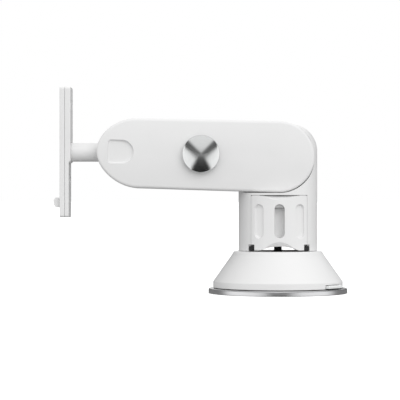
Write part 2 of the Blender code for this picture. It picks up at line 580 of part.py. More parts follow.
def arm(on):
    front, rear = arm_shell(-1, on), arm_shell(1, on)
    knob = (KNOB_X, 0, KNOB_Z)
    seam = ARM_SEAM
    cut(
        front,
        rod("knob_recess", 9.0 * MM, -20 * MM, -13.8 * MM, "Y", knob, on, sides=32),
        rod("pivot_thread", 1.8 * MM, -7.6 * MM, 5 * MM, "Y", on=on, sides=16),
        box("rear_side", (-100 * MM, -seam, -30 * MM), (30 * MM, 30 * MM, 30 * MM), on),
    )
    cut(
        rear,
        rod("bolt_head_room", 4.8 * MM, 10.9 * MM, 20 * MM, "Y", knob, on, sides=6),
        rod("pivot_bore", 1.8 * MM, -5 * MM, 20 * MM, "Y", on=on, sides=16),
        rod("pivot_head_room", 3.9 * MM, 12.0 * MM, 20 * MM, "Y", on=on),
        box("front_side", (-100 * MM, -30 * MM, -30 * MM), (30 * MM, seam, 30 * MM), on),
    )
    pivot_screw = screw("pivot_screw", 3.5 * MM, 1.6 * MM, 1.6 * MM, 20 * MM, "Y", (0, 0, 0), on)
    facing_rear = Matrix.Rotation(math.pi / 2, 4, "X")
    pivot_screw.matrix_basis = Matrix.Translation((0, 13.1 * MM, 0)) @ facing_rear
    washer = [(3.6 * MM, 0.25 * MM), (3.6 * MM, -0.25 * MM), (1.85 * MM, -0.25 * MM), (1.85 * MM, 0.25 * MM)]
    turned("pivot_washer", washer, "Y", (0, 12.55 * MM, 0), on, STEEL, sides=24)
    bolt = rod("clamp_bolt", 2.0 * MM, -18.6 * MM, 12 * MM, "Y", knob, on, STEEL, sides=20)
    join(bolt, rod("bolt_head", 4.3 * MM, 11.2 * MM, 13.9 * MM, "Y", knob, on, sides=6))
    washer = [(7 * MM, 0.3 * MM), (7 * MM, -0.3 * MM), (2.35 * MM, -0.3 * MM), (2.35 * MM, 0.3 * MM)]
    turned("clamp_washer", washer, "Y", (KNOB_X, -14.4 * MM, KNOB_Z), on, STEEL, sides=32)
    coil("clamp_spring", 3.2 * MM, 0.35 * MM, -3.7 * MM, 3.7 * MM, 4, "Y", knob, on, STEEL)
    for name, end in (("arm_dowel_lower", -1), ("arm_dowel_upper", 1)):
        centre = (DOWEL_X, 0, end * DOWEL_Z)
        rod(name, 1.1 * MM, -4.5 * MM, 4.5 * MM, "Y", centre, on, STEEL, sides=14)


def knob(on):
    """The clamp knob, with its height measured from the arm's middle towards the front."""
    dome_r, crown, shoulder = 8.4 * MM, 21.0 * MM, 19.4 * MM
    rise = crown - shoulder
    sphere = (dome_r**2 + rise**2) / (2 * rise)
    dome = []
    for i in range(5):
        r = dome_r * i / 4
        dome.append((r, crown - sphere + math.sqrt(sphere**2 - r**2)))
    edge = [(9.0 * MM, 18.9 * MM), (KNOB_R, 18.1 * MM), (KNOB_R, 15.4 * MM), (KNOB_R - 0.4 * MM, 15 * MM)]
    cap = turned("clamp_knob", dome + edge + [(0, 15 * MM)], "Y", (0, 0, 0), on, POLISHED)
    cap.matrix_basis = Matrix.Rotation(math.pi / 2, 4, "X")
    cut(cap, rod("insert_room", 4.0 * MM, -19.2 * MM, -10 * MM, "Y", on=on))
    insert = rod("knob_insert", 3.7 * MM, -18.9 * MM, -15.1 * MM, "Y", on=on, look=BRASS)
    cut(insert, rod("insert_bore", 2.25 * MM, -30 * MM, 0, "Y", on=on, sides=20))


def ball_joint(pads_on, stud_on):
    for name, side in (("socket_pad_front", -1), ("socket_pad_rear", 1)):
        pad = ball(name, 10.4 * MM, pads_on, SOFT)
        low, high = sorted((side * 6.1 * MM, side * 20 * MM))
        common(pad, box(name + "_cap", (-15 * MM, low, -15 * MM), (15 * MM, high, 15 * MM), pads_on))
        cut(pad, ball(name + "_cup", BALL_R + 0.25 * MM, pads_on))
    stud = ball("ball_stud", BALL_R, stud_on, WHITE)
    join(
        stud,
        rod("stud_stem", STEM_R, -25.6 * MM, -5 * MM, "X", on=stud_on, sides=24),
        rod("stud_flange", FLANGE_R, FRONT_PLATE_X + GAP, FLANGE_ROOM_X - GAP, "X", on=stud_on, sides=24),
    )


def plate_outline(foot=-PLATE_HALF_HEIGHT, r=PLATE_CORNER_R):
    """The holder plate from the front, a tall narrow rectangle with its corners rounded, down to its foot."""
    wide = PLATE_HALF_WIDTH - r
    head = arc(wide, PLATE_HALF_HEIGHT - r, r, 0, 90, 4) + arc(-wide, PLATE_HALF_HEIGHT - r, r, 90, 180, 4)
    return head + arc(-wide, foot + r, r, 180, 270, 4) + arc(wide, foot + r, r, 270, 360, 4)


def plate(name, outline, x, thickness, on, look=WHITE):
    """A plate standing across X, from x towards -X, with a small edge bevel."""
    shape = prism(name, outline, 0, thickness, on, look)
    shape.data.transform(Matrix.Translation((x, 0, 0)) @ Matrix.Rotation(math.pi / 2, 4, "Z"))
    edge = shape.modifiers.new("edges", "BEVEL")
    edge.width, edge.segments, edge.limit_method = 0.4 * MM, 1, "ANGLE"
    edge.angle_limit = math.radians(60)
    return shape


def holder(on, catch_on):
    back = plate("holder_back_plate", plate_outline(), BACK_PLATE_X, BACK_THICKNESS, on)
    front = plate("holder_front_plate", plate_outline(), FRONT_PLATE_X, FRONT_THICKNESS, on)
    join(back, plate("upper_pad", plate_outline(PAD_FOOT), PAD_FACE_X, 2 * MM, on, None))
    cut(
        back,
        rod("stem_bore", STEM_R + GAP, -30 * MM, -20 * MM, "X", on=on, sides=24),
        rod("flange_room", FLANGE_R + GAP, -30 * MM, FLANGE_ROOM_X, "X", on=on, sides=24),
    )
    for i, (y, z) in enumerate(PLATE_SCREWS):
        centre = (0, y, z)
        cut(
            back,
            rod(f"plate_bore_{i}", 1.2 * MM, -30 * MM, -20 * MM, "X", centre, on, sides=12),
            rod(f"plate_head_room_{i}", 2.3 * MM, SCREW_SEAT_X - 0.2 * MM, -20 * MM, "X", centre, on, sides=16),
        )
        cut(front, rod(f"plate_thread_{i}", 1.2 * MM, -28.1 * MM, -20 * MM, "X", centre, on, sides=12))
        fixing = screw(f"plate_screw_{i + 1}", 2.0 * MM, 1.0 * MM, 1.0 * MM, 3.0 * MM, "X", centre, on)
        facing_back = Matrix.Rotation(-math.pi / 2, 4, "Y")
        fixing.matrix_basis = Matrix.Translation((SCREW_SEAT_X, y, z)) @ facing_back
    half, top, foot = CATCH_HALF_WIDTH, CATCH_TOP, CATCH_FOOT
    room = half + GAP
    cut(front, box("catch_slot", (-31 * MM, -room, foot - GAP), (-26 * MM, room, top + GAP), on))
    pocket = box("catch_room", (-27 * MM, -room, foot - GAP), (CATCH_FLOOR_X, room, top + GAP), on)
    cut(back, pocket, solver="MANIFOLD")
    nose, rear = CATCH_NOSE_X, CATCH_REAR_X
    side_view = [(rear, top), (nose + 0.9 * MM, top), (nose, top - 1.3 * MM)]
    side_view += [(nose, foot + 1.4 * MM), (nose + 1.1 * MM, foot), (rear, foot)]
    latch = prism("catch", side_view, -half, half, catch_on, WHITE)
    middle = (0, 0, (top + foot) / 2)
    cut(latch, rod("spring_bore", 1.5 * MM, -30.3 * MM, -20 * MM, "X", middle, catch_on, sides=20))
    coil("catch_spring", 1.1 * MM, 0.2 * MM, -29.8 * MM, -25.1 * MM, 4, "X", middle, on, STEEL)


def main():
    pan = pivot("pan_axis")
    pitch = pivot("pitch_axis", (0, 0, PIVOT_Z), pan, (0, ARM_TILT, 0))
    lever_axis = pivot("lever_axis", (0, LEVER_AXIS_Y, LEVER_AXIS_Z), pan)
    stem_axis = pivot("stem_axis", parent=pan)
    knob_axis = pivot("knob_axis", (KNOB_X, 0, KNOB_Z), pitch)
    ball_tilt = pivot("ball_tilt_axis", (BALL_X, 0, BALL_Z), pitch, (0, -ARM_TILT, 0))
    ball_yaw = pivot("ball_yaw_axis", parent=ball_tilt)
    plate_roll = pivot("plate_roll_axis", parent=ball_yaw)
    catch_axis = pivot("catch_axis", parent=plate_roll)
    base()
    column(pan)
    lever(lever_axis)
    stem(stem_axis)
    arm(pitch)
    knob(knob_axis)
    ball_joint(ball_tilt, ball_yaw)
    holder(plate_roll, catch_axis)


main()
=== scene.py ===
"""Looks of the suction-cup camera mount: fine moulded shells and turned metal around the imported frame.

Meshes are made in millimetres, each in the frame of the joint that it moves with, and turned to metres
when the piece is placed.
"""

import json
import math

import bmesh
import bpy
from mathutils import Matrix, Vector

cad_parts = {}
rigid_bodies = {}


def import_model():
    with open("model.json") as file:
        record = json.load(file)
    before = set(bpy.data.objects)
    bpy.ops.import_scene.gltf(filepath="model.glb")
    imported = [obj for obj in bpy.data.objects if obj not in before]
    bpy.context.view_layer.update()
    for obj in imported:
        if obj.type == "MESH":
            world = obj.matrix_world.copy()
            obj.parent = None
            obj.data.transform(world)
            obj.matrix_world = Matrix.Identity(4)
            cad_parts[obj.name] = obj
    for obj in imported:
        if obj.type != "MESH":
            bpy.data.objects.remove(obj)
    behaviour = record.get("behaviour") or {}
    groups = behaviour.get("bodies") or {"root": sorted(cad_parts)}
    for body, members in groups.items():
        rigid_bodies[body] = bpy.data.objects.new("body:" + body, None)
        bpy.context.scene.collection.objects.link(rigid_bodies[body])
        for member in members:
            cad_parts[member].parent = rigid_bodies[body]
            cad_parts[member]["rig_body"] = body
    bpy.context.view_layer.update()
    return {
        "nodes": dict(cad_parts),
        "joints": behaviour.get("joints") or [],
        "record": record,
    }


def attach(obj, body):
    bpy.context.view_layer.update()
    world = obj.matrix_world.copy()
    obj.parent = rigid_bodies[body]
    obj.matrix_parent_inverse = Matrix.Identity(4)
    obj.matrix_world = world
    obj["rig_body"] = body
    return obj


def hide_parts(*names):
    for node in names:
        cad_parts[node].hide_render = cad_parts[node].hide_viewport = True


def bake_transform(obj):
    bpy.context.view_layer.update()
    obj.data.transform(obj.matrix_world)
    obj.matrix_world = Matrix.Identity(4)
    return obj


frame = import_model()

MM = 0.001
MERGE = 1e-4

JOINTS = {joint["name"]: joint for joint in frame["joints"]}
BODY_OF = {name: node["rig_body"] for name, node in frame["nodes"].items()}
SLOT_OF = {row["node"]: row["material_slot"] for row in frame["record"]["subparts"]}

# Frames of the pieces, in millimetres.
HERE = Matrix.Identity(4)
ALONG_X = Matrix.Rotation(math.pi / 2, 4, "Y")
ALONG_Y = Matrix.Rotation(-math.pi / 2, 4, "X")
FACING_FRONT = Matrix.Rotation(math.pi / 2, 4, "X")
FACING_BACK = Matrix.Rotation(-math.pi / 2, 4, "Y")


def joint_place(name):
    return Matrix.Translation(Vector(JOINTS[name]["pos_m"]) / MM)


def at(x, y, z):
    return Matrix.Translation((x, y, z))


PIVOT_Z = JOINTS["arm_pitch"]["pos_m"][2] / MM
ARM_TILT = math.radians(-JOINTS["arm_pitch"]["range_deg"][0])
ARM = at(0, 0, PIVOT_Z) @ Matrix.Rotation(ARM_TILT, 4, "Y")
LEVER = joint_place("lever_flip")
BALL = joint_place("ball_tilt")

# Base, on the axis x = y = 0.
DISC_R, DISC_TOP, DISC_RECESS_TOP = 34.55, 2.5, 0.9
DISC_RECESS_R, ADHESIVE_R, ADHESIVE_TOP = DISC_R - 2.2, DISC_R - 2.5, 0.6
SKIRT_R, SKIRT_FOOT, SKIRT_RIM_TOP = 32.3, DISC_TOP + 0.3, 5.9
CONE_TOP_R, CONE_TOP = 23.1, 18.9
DECK_TOP, DECK_UNDER, DECK_R, DECK_HOLE_R = 21.0, 18.7, 21.9, 17.0
PAD_R, PAD_HOLE_R = 30.2, 10.4
TAB_ANGLE, TAB_WIDTH, TAB_HALF_HEIGHT, TAB_Z, TAB_R = math.radians(55 - 90), 12.6, 0.7, 3.8, 33.7
NOTCH_HALF_WIDTH, NOTCH_HALF_HEIGHT, NOTCH_Z, NOTCH_LIP = TAB_WIDTH / 2 + 0.4, 2.1, 2.8, 0.15
TURNTABLE_R, TURNTABLE_TOP, TURNTABLE_FOOT, TURNTABLE_HOLE_R = DECK_HOLE_R - 0.3, 20.7, 18.3, 2.3
RETAINER_R, RETAINER_HOLE_R, RETAINER_TOP, RETAINER_FOOT = 19.3, 10, 18.0, 16.2

# Column.
COLUMN_R, COLUMN_WALL = 19.6, 2.2
COLUMN_FOOT, COLUMN_TOP, SHOULDER_R = 21.12, 84.3, 13.5
WEB_HALF, CHEEK_POCKET_R = 8.0, 17.85
ARM_UP = math.radians(46.5)
HEAD_WALL, HEAD_HALF, HOLLOW_TOP, SEAM_HALF = 2.5, 5.8, 46.4, 0.15
PIVOT_BOSS_R, PIVOT_BORE_R = 8.5, 5.9
FOOT_SCREWS = [(x * 13, y * 7.4) for x in (-1, 1) for y in (-1, 1)]
FOOT_BOSS_R, FOOT_BORE_R, FOOT_BORE_TOP = 2.8, 1.4, 25.2
SEAM_SCREW_X, SEAM_SCREW_Z = 13.8, 38.0
SEAM_BOSS_R, SEAM_BORE_R, SEAM_HEAD_R, SEAM_HEAD_Y = 3.1, 1.3, 2.5, 6.4

# Lever.
LEVER_WINDOW, LEVER_HALF_WIDTH, LEVER_FOOT, LEVER_TOP = 13.85, 13.76, 21.6, 48.65
WINDOW_TOP, LEVER_INNER_R, LEVER_BARREL_R = 48.8, 16.9, 4.35
LEVER_AXIS_Y, LEVER_AXIS_Z, LEVER_BORE_R, LEVER_LUG_HALF = -15.6, 44.4, 0.95, 2.2
LOBE_INNER, LOBE_OUTER, LOBE_R, LOBE_Y = 4.8, 7.4, 1.2, 2.8
SLOT_WIDTH, SLOT_FOOT, SLOT_TOP, SLOT_ANGLE, SLOT_LIP = 4.9, 27.7, 44.2, math.radians(31), 0.45
SIDE_SLOT_FLOOR, MIDDLE_SLOT_FLOOR = 18.3, 13.2
ARCH_HALF_WIDTH, REAR_ARCH_HALF_WIDTH, ARCH_RISE = 10.6, 9.5, 2.5
STOP_X, STOP_WIDTH, STOP_FOOT, STOP_TOP, STOP_SWING, STOP_ROOM = 13.6, 2.2, 21.3, 23.7, 0.8, 0.3

# Pull stem.
ROD_R, ROD_FOOT, ROD_TOP, ROD_BORE_R = 1.2, 8.3, 45.6, 1.4
THREAD_PITCH, THREAD_DEPTH, THREAD_TURNS = 0.8, 0.18, 8
YOKE_TOP, NUT_R, NUT_TOP = 42.9, 3.0, 45.2
RETURN_SPRING_R, RETURN_SPRING_WIRE_R, RETURN_SPRING_LOW, RETURN_SPRING_HIGH = 4.0, 0.35, 9.4, 17.6

# Arm, in its own frame: origin on the pivot, -X towards the nose.
ARM_END_R, ARM_NOSE_R, ARM_NOSE_X, ARM_NOSE_LENGTH = 17.6, 17.2, -70, 20
ARM_HALF, ARM_WALL, ARM_SEAM = 15.0, 2.2, 0.4
ARM_EDGE_R, ARM_CROWN, ARM_CROWN_REACH = 1.6, 1.2, 16.0
NOSE_POWER_ABOVE, NOSE_POWER_BELOW = 1.95, 1.75
SCOOP_LEFT, SCOOP_RIGHT, SCOOP_HALF, SCOOP_CORNER_R = -84.4, -71.6, 5.9, 1.8
SCOOP_DEPTH, SCOOP_FILLET = 1.6, 1.1
CHEEK_FACE, WEB_ROOM_X = 9.0, -20.9
KNOB_X, KNOB_Z, KNOB_R = -38.4, 0.3, 9.25
DOWEL_X, DOWEL_Z = -58, 10.5
KNOB_RECESS_R, KNOB_RECESS_FLOOR, KNOB_BORE_R = 9, 13.8, 2.25
BALL_X, BALL_Z, BALL_R = -80, 0.4, 9.0
SOCKET_R, SOCKET_HALF, FORK_HALF, FORK_WALL, FORK_ROOT = 8.9, 10.8, 6.4, 13.2, -65.9
DOWEL_R, DOWEL_HALF, DOWEL_BORE_R, DOWEL_BORE_HALF, DOWEL_BOSS_R = 1.1, 4.5, 1.4, 4.9, 2.8

# Holder, in the ball's frame, plates across -X.
STEM_R = 4.65
PLATE_HALF_WIDTH, PLATE_HALF_HEIGHT, PLATE_CORNER_R, PLATE_EDGE_R = 8, 32.4, 1.2, 0.4
PAD_FACE_X, PAD_FOOT = -23.1, -5.2
BACK_PLATE_X, BACK_THICKNESS, FRONT_PLATE_X, FRONT_FACE_X = -23.9, 2.1, -26.06, -28.5
PLATE_SCREWS = [(y * 4.8, z) for y in (-1, 1) for z in (-13, 24)]
SCREW_SEAT_X, FLANGE_R, FLANGE_ROOM_X = -24.9, 6.2, -24.8
CATCH_HALF_WIDTH, CATCH_TOP, CATCH_FOOT = 4.5, -22.6, -27.5
CATCH_NOSE_X, CATCH_REAR_X, CATCH_FLOOR_X, CATCH_ROOM = -31.7, -26.9, -24.7, 0.3
CATCH_SPRING_R, CATCH_SPRING_WIRE_R, CATCH_SPRING_FAR, CATCH_SPRING_NEAR = 1.1, 0.2, -29.8, -25.1

# Camera: its place in metres, its sensor and lens in millimetres.
CAMERA_AT, SENSOR_WIDTH, LENS = (-0.0389, -0.857, 0.0464), 36, 154.35

# Light, and the paper table in metres.
GLOW_BELOW, GLOW_ABOVE = 0.42, 0.98
KEY_FROM, KEY_POWER, KEY_SPREAD = (0.25, -0.85, 0.4), 1.05, 50
TOP_BOX, SIDE_BOX = 0.9, 1.2
PAPER_GLOW, TABLE_SIZE, TABLE_SINK = 0.35, 40, 0.00005


# --- mesh tools -------------------------------------------------------------------------------------


def as_mesh(shape, place=HERE):
    bmesh.ops.recalc_face_normals(shape, faces=shape.faces)
    mesh = bpy.data.meshes.new("shape")
    shape.to_mesh(mesh)
    shape.free()
    mesh.transform(place)
    return mesh


def arc(centre_x, centre_z, radius, start, end, steps):
    """Points of (x, z) on an arc, with angles in degrees from +X towards +Z."""
    angles = [math.radians(start + (end - start) * i / steps) for i in range(steps + 1)]
    return [(centre_x + radius * math.cos(a), centre_z + radius * math.sin(a)) for a in angles]


def filleted(corners, steps=5):
    """A closed outline of (x, z, radius) corners, with each corner of a radius above 0 made an arc."""
    points = []
    for i, (x, z, radius) in enumerate(corners):
        if not radius:
            points.append((x, z))
            continue
        here = Vector((x, z))
        before = (Vector(corners[i - 1][:2]) - here).normalized()
        after = (Vector(corners[(i + 1) % len(corners)][:2]) - here).normalized()
        half = before.angle(after) / 2
        centre = here + (before + after).normalized() * radius / math.sin(half)
        first = here + before * radius / math.tan(half) - centre
        last = here + after * radius / math.tan(half) - centre
        start, end = math.atan2(first.y, first.x), math.atan2(last.y, last.x)
        turn = (end - start + math.pi) % (2 * math.pi) - math.pi
        for k in range(steps + 1):
            angle = start + turn * k / steps
            points.append((centre.x + radius * math.cos(angle), centre.y + radius * math.sin(angle)))
    return points


def turned(profile, place=HERE, steps=96):
    """A profile of (radius, height) spun about the local Z axis."""
    shape = bmesh.new()
    points = [shape.verts.new((r, 0, h)) for r, h in profile]
    edges = [shape.edges.new(pair) for pair in zip(points, points[1:])]
    if profile[0][0] > 0:
        edges.append(shape.edges.new((points[-1], points[0])))
    around = {"axis": (0, 0, 1), "cent": (0, 0, 0), "angle": 2 * math.pi}
    bmesh.ops.spin(shape, geom=points + edges, steps=steps, use_merge=True, **around)
    bmesh.ops.remove_doubles(shape, verts=shape.verts, dist=MERGE)
    return as_mesh(shape, place)


def rod(radius, low, high, place=HERE, steps=64):
    return turned([(0, high), (radius, high), (radius, low), (0, low)], place, steps)


def box(low, high, place=HERE):
    low, high = Vector(low), Vector(high)
    shape = bmesh.new()
    bmesh.ops.create_cube(shape, size=1)
    grown = Matrix.LocRotScale((low + high) / 2, None, high - low)
    bmesh.ops.transform(shape, matrix=grown, verts=shape.verts)
    return as_mesh(shape, place)


def loft(outline, levels, place=HERE):
    """Rings of an outline, given as a function of its inset, at (inset, y) levels, closed at both ends."""
    shape = bmesh.new()
    rings = [[shape.verts.new((x, y, z)) for x, z in outline(inset)] for inset, y in levels]
    for one, other in zip(rings, rings[1:]):
        for i in range(len(one)):
            shape.faces.new((one[i - 1], one[i], other[i], other[i - 1]))
    shape.faces.new(rings[0])
    shape.faces.new(rings[-1])
    return as_mesh(shape, place)


def prism(points, low, high, place=HERE):
    return loft(lambda inset: points, [(0, low), (0, high)], place)


def edge_levels(low, high, radius, steps=4):
    """Levels of a slab from low to high with both its rims rounded."""
    turn = [math.radians(90 * k / steps) for k in range(steps + 1)]
    first = [(radius * (1 - math.sin(a)), low + radius * (1 - math.cos(a))) for a in turn]
    last = [(radius * (1 - math.sin(a)), high - radius * (1 - math.cos(a))) for a in reversed(turn)]
    return first + last


def lipped_levels(outside, face, lip, inside, steps=4):
    """Levels of a cutter that sinks from outside through a face, leaving a rounded lip on the face."""
    way = 1 if inside > face else -1
    turn = [math.radians(90 * k / steps) for k in range(steps + 1)]
    rim = [(-lip * (1 - math.sin(a)), face + way * lip * (1 - math.cos(a))) for a in turn]
    return [(-lip, outside)] + rim + [(0, inside)]


def rounded(half_x, half_z, radius, steps=8):
    """Outline of a rectangle with round corners, as a function of its inset."""
    corners = [(1, 1, 0), (-1, 1, 90), (-1, -1, 180), (1, -1, 270)]

    def outline(inset):
        x, z, r = half_x - radius, half_z - radius, radius - inset
        return [p for sx, sz, a in corners for p in arc(sx * x, sz * z, r, a, a + 90, steps)]

    return outline


def capsule(width, foot, top, steps=14):
    """Outline of an upright slot with round ends, as a function of its inset."""
    r = width / 2

    def outline(inset):
        return arc(0, top - r, r - inset, 0, 180, steps) + arc(0, foot + r, r - inset, 180, 360, steps)

    return outline


def combined(mesh, operation, others):
    """The mesh after a Boolean with each of the others in turn."""
    scene = bpy.context.scene.collection.objects
    work = bpy.data.objects.new("work", mesh)
    tools = [bpy.data.objects.new("tool", other) for other in others]
    for obj in [work, *tools]:
        scene.link(obj)
    for tool in tools:
        modifier = work.modifiers.new("combine", "BOOLEAN")
        modifier.operation, modifier.object, modifier.solver = operation, tool, "MANIFOLD"
    graph = bpy.context.evaluated_depsgraph_get()
    result = bpy.data.meshes.new_from_object(work.evaluated_get(graph))
    for obj in [work, *tools]:
        used = obj.data
        bpy.data.objects.remove(obj, do_unlink=True)
        bpy.data.meshes.remove(used)
    return result


def cut(mesh, *others):
    return combined(mesh, "DIFFERENCE", others)


def join(mesh, *others):
    return combined(mesh, "UNION", others)


def common(mesh, *others):
    return combined(mesh, "INTERSECT", others)


# --- materials --------------------------------------------------------------------------------------


def blank(name, colour, roughness, metallic=0.0):
    """A material with its Principled shader and a texture coordinate in metres."""
    made = bpy.data.materials.new(name)
    made.use_nodes = True
    nodes = made.node_tree.nodes
    shader = nodes["Principled BSDF"]
    shader.inputs["Base Color"].default_value = (*colour, 1)
    shader.inputs["Roughness"].default_value = roughness
    shader.inputs["Metallic"].default_value = metallic
    return made, shader, nodes.new("ShaderNodeTexCoord").outputs["Object"]


def noise(made, place, scale, detail=3.0, dimensions="3D"):
    node = made.node_tree.nodes.new("ShaderNodeTexNoise")
    node.noise_dimensions = dimensions
    node.inputs["Scale"].default_value = scale
    node.inputs["Detail"].default_value = detail
    made.node_tree.links.new(place, node.inputs["W" if dimensions == "1D" else "Vector"])
    return node.outputs["Fac"]


def spread(made, value, low, high):
    """The middle of a noise stretched to run from low to high."""
    node = made.node_tree.nodes.new("ShaderNodeMapRange")
    for name, number in (("From Min", 0.3), ("From Max", 0.7), ("To Min", low), ("To Max", high)):
        node.inputs[name].default_value = number
    made.node_tree.links.new(value, node.inputs["Value"])
    return node.outputs["Result"]


def between(made, value, one, other):
    node = made.node_tree.nodes.new("ShaderNodeMix")
    node.data_type = "RGBA"
    node.inputs["A"].default_value = (*one, 1)
    node.inputs["B"].default_value = (*other, 1)
    made.node_tree.links.new(value, node.inputs["Factor"])
    return node.outputs["Result"]


def raised(made, shader, height, distance, strength):
    node = made.node_tree.nodes.new("ShaderNodeBump")
    node.inputs["Distance"].default_value = distance
    node.inputs["Strength"].default_value = strength
    made.node_tree.links.new(height, node.inputs["Height"])
    made.node_tree.links.new(node.outputs["Normal"], shader.inputs["Normal"])


def moulded(name, colour, roughness, grain=3200, depth=8e-6, strength=0.5, sheen_spread=0.05):
    """Injection-moulded plastic: a fine spark-eroded grain and a faint unevenness of gloss and shade."""
    made, shader, place = blank(name, colour, roughness)
    link = made.node_tree.links.new
    flow = noise(made, place, 45, 2.0)
    darker = [c * 0.975 for c in colour]
    link(between(made, spread(made, flow, 0, 1), darker, colour), shader.inputs["Base Color"])
    gloss = noise(made, place, 170, 4.0)
    link(spread(made, gloss, roughness - sheen_spread, roughness + sheen_spread), shader.inputs["Roughness"])
    raised(made, shader, noise(made, place, grain, 3.0), depth, strength)
    return made, shader


def radius_from(made, place, across):
    """Distance from the axis that the two named components are measured across."""
    nodes, link = made.node_tree.nodes, made.node_tree.links.new
    flat = nodes.new("ShaderNodeVectorMath")
    flat.operation = "MULTIPLY"
    flat.inputs[1].default_value = [1.0 if axis in across else 0.0 for axis in "XYZ"]
    link(place, flat.inputs[0])
    length = nodes.new("ShaderNodeVectorMath")
    length.operation = "LENGTH"
    link(flat.outputs["Vector"], length.inputs[0])
    return length.outputs["Value"]


def spun(name, colour, roughness, axis, anisotropy, lines=5200, depth=3e-6, spread_by=0.06):
    """Metal turned on a lathe: fine rings about an axis, in shade, gloss and relief."""
    made, shader, place = blank(name, colour, roughness, 1.0)
    nodes, link = made.node_tree.nodes, made.node_tree.links.new
    shader.inputs["Anisotropic"].default_value = anisotropy
    tangent = nodes.new("ShaderNodeTangent")
    tangent.direction_type, tangent.axis = "RADIAL", axis
    link(tangent.outputs["Tangent"], shader.inputs["Tangent"])
    shader.inputs["Anisotropic Rotation"].default_value = 0.25
    radius = radius_from(made, place, "XYZ".replace(axis, ""))
    rings = noise(made, radius, lines, 3.0, "1D")
    link(spread(made, rings, roughness - spread_by, roughness + spread_by), shader.inputs["Roughness"])
    darker = [c * 0.86 for c in colour]
    link(between(made, spread(made, rings, 0, 1), darker, colour), shader.inputs["Base Color"])
    raised(made, shader, rings, depth, 0.35)
    return made


def plated(name, colour, roughness):
    """Zinc-plated or turned small parts: a mottled, slightly uneven metal."""
    made, shader, place = blank(name, colour, roughness, 1.0)
    link = made.node_tree.links.new
    mottle = noise(made, place, 700, 5.0)
    darker = [c * 0.8 for c in colour]
    link(between(made, spread(made, mottle, 0, 1), darker, colour), shader.inputs["Base Color"])
    link(spread(made, mottle, roughness - 0.08, roughness + 0.1), shader.inputs["Roughness"])
    raised(made, shader, noise(made, place, 6000, 2.0), 4e-6, 0.4)
    return made


def soft_plastic():
    """Milky, slightly see-through soft plastic."""
    made, shader = moulded("milky_soft_plastic", (0.8, 0.81, 0.81), 0.42, grain=1500, depth=6e-6)
    shader.inputs["Subsurface Weight"].default_value = 0.35
    shader.inputs["Subsurface Radius"].default_value = (1.0, 1.0, 1.0)
    shader.inputs["Subsurface Scale"].default_value = 0.0012
    return made


WHITE = moulded("white_moulded_plastic", (0.8, 0.8, 0.8), 0.38)[0]
LOOKS = {
    "white_plastic": WHITE,
    "silver_metal": spun("turned_silver_rim", (0.62, 0.62, 0.63), 0.27, "Z", 0.6),
    "polished_metal": spun("spun_knob_metal", (0.72, 0.73, 0.73), 0.2, "Y", 0.85),
    "steel": plated("zinc_plated_steel", (0.56, 0.56, 0.57), 0.34),
    "black_plastic": moulded("black_acetal", (0.018, 0.018, 0.019), 0.45, grain=2600, sheen_spread=0.08)[0],
    "soft_plastic": soft_plastic(),
    "brass": plated("turned_brass", (0.72, 0.53, 0.26), 0.3),
}


# --- placing ----------------------------------------------------------------------------------------


def piece(node, mesh, place=HERE, sharp=32, stretched=None):
    """A fine mesh that stands for a CAD node: it takes the node's body, slot and finish.

    A spring may be given stretched ends, two bodies and two points in millimetres: it then takes no body and
    its place is baked into its mesh, and the ends themselves are not used.
    """
    mesh.transform(Matrix.Scale(MM, 4))
    mesh.materials.clear()
    mesh.materials.append(LOOKS[SLOT_OF[node]])
    mesh.shade_smooth()
    mesh.set_sharp_from_angle(angle=math.radians(sharp))
    mesh.name = node + "_fine"
    obj = bpy.data.objects.new(node + "_fine", mesh)
    bpy.context.scene.collection.objects.link(obj)
    metres = place.copy()
    metres.translation *= MM
    obj.matrix_world = metres
    normals = obj.modifiers.new("even_normals", "WEIGHTED_NORMAL")
    normals.keep_sharp = True
    if stretched:
        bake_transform(obj)
    else:
        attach(obj, BODY_OF[node])
    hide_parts(node)
    return obj


# --- base -------------------------------------------------------------------------------------------


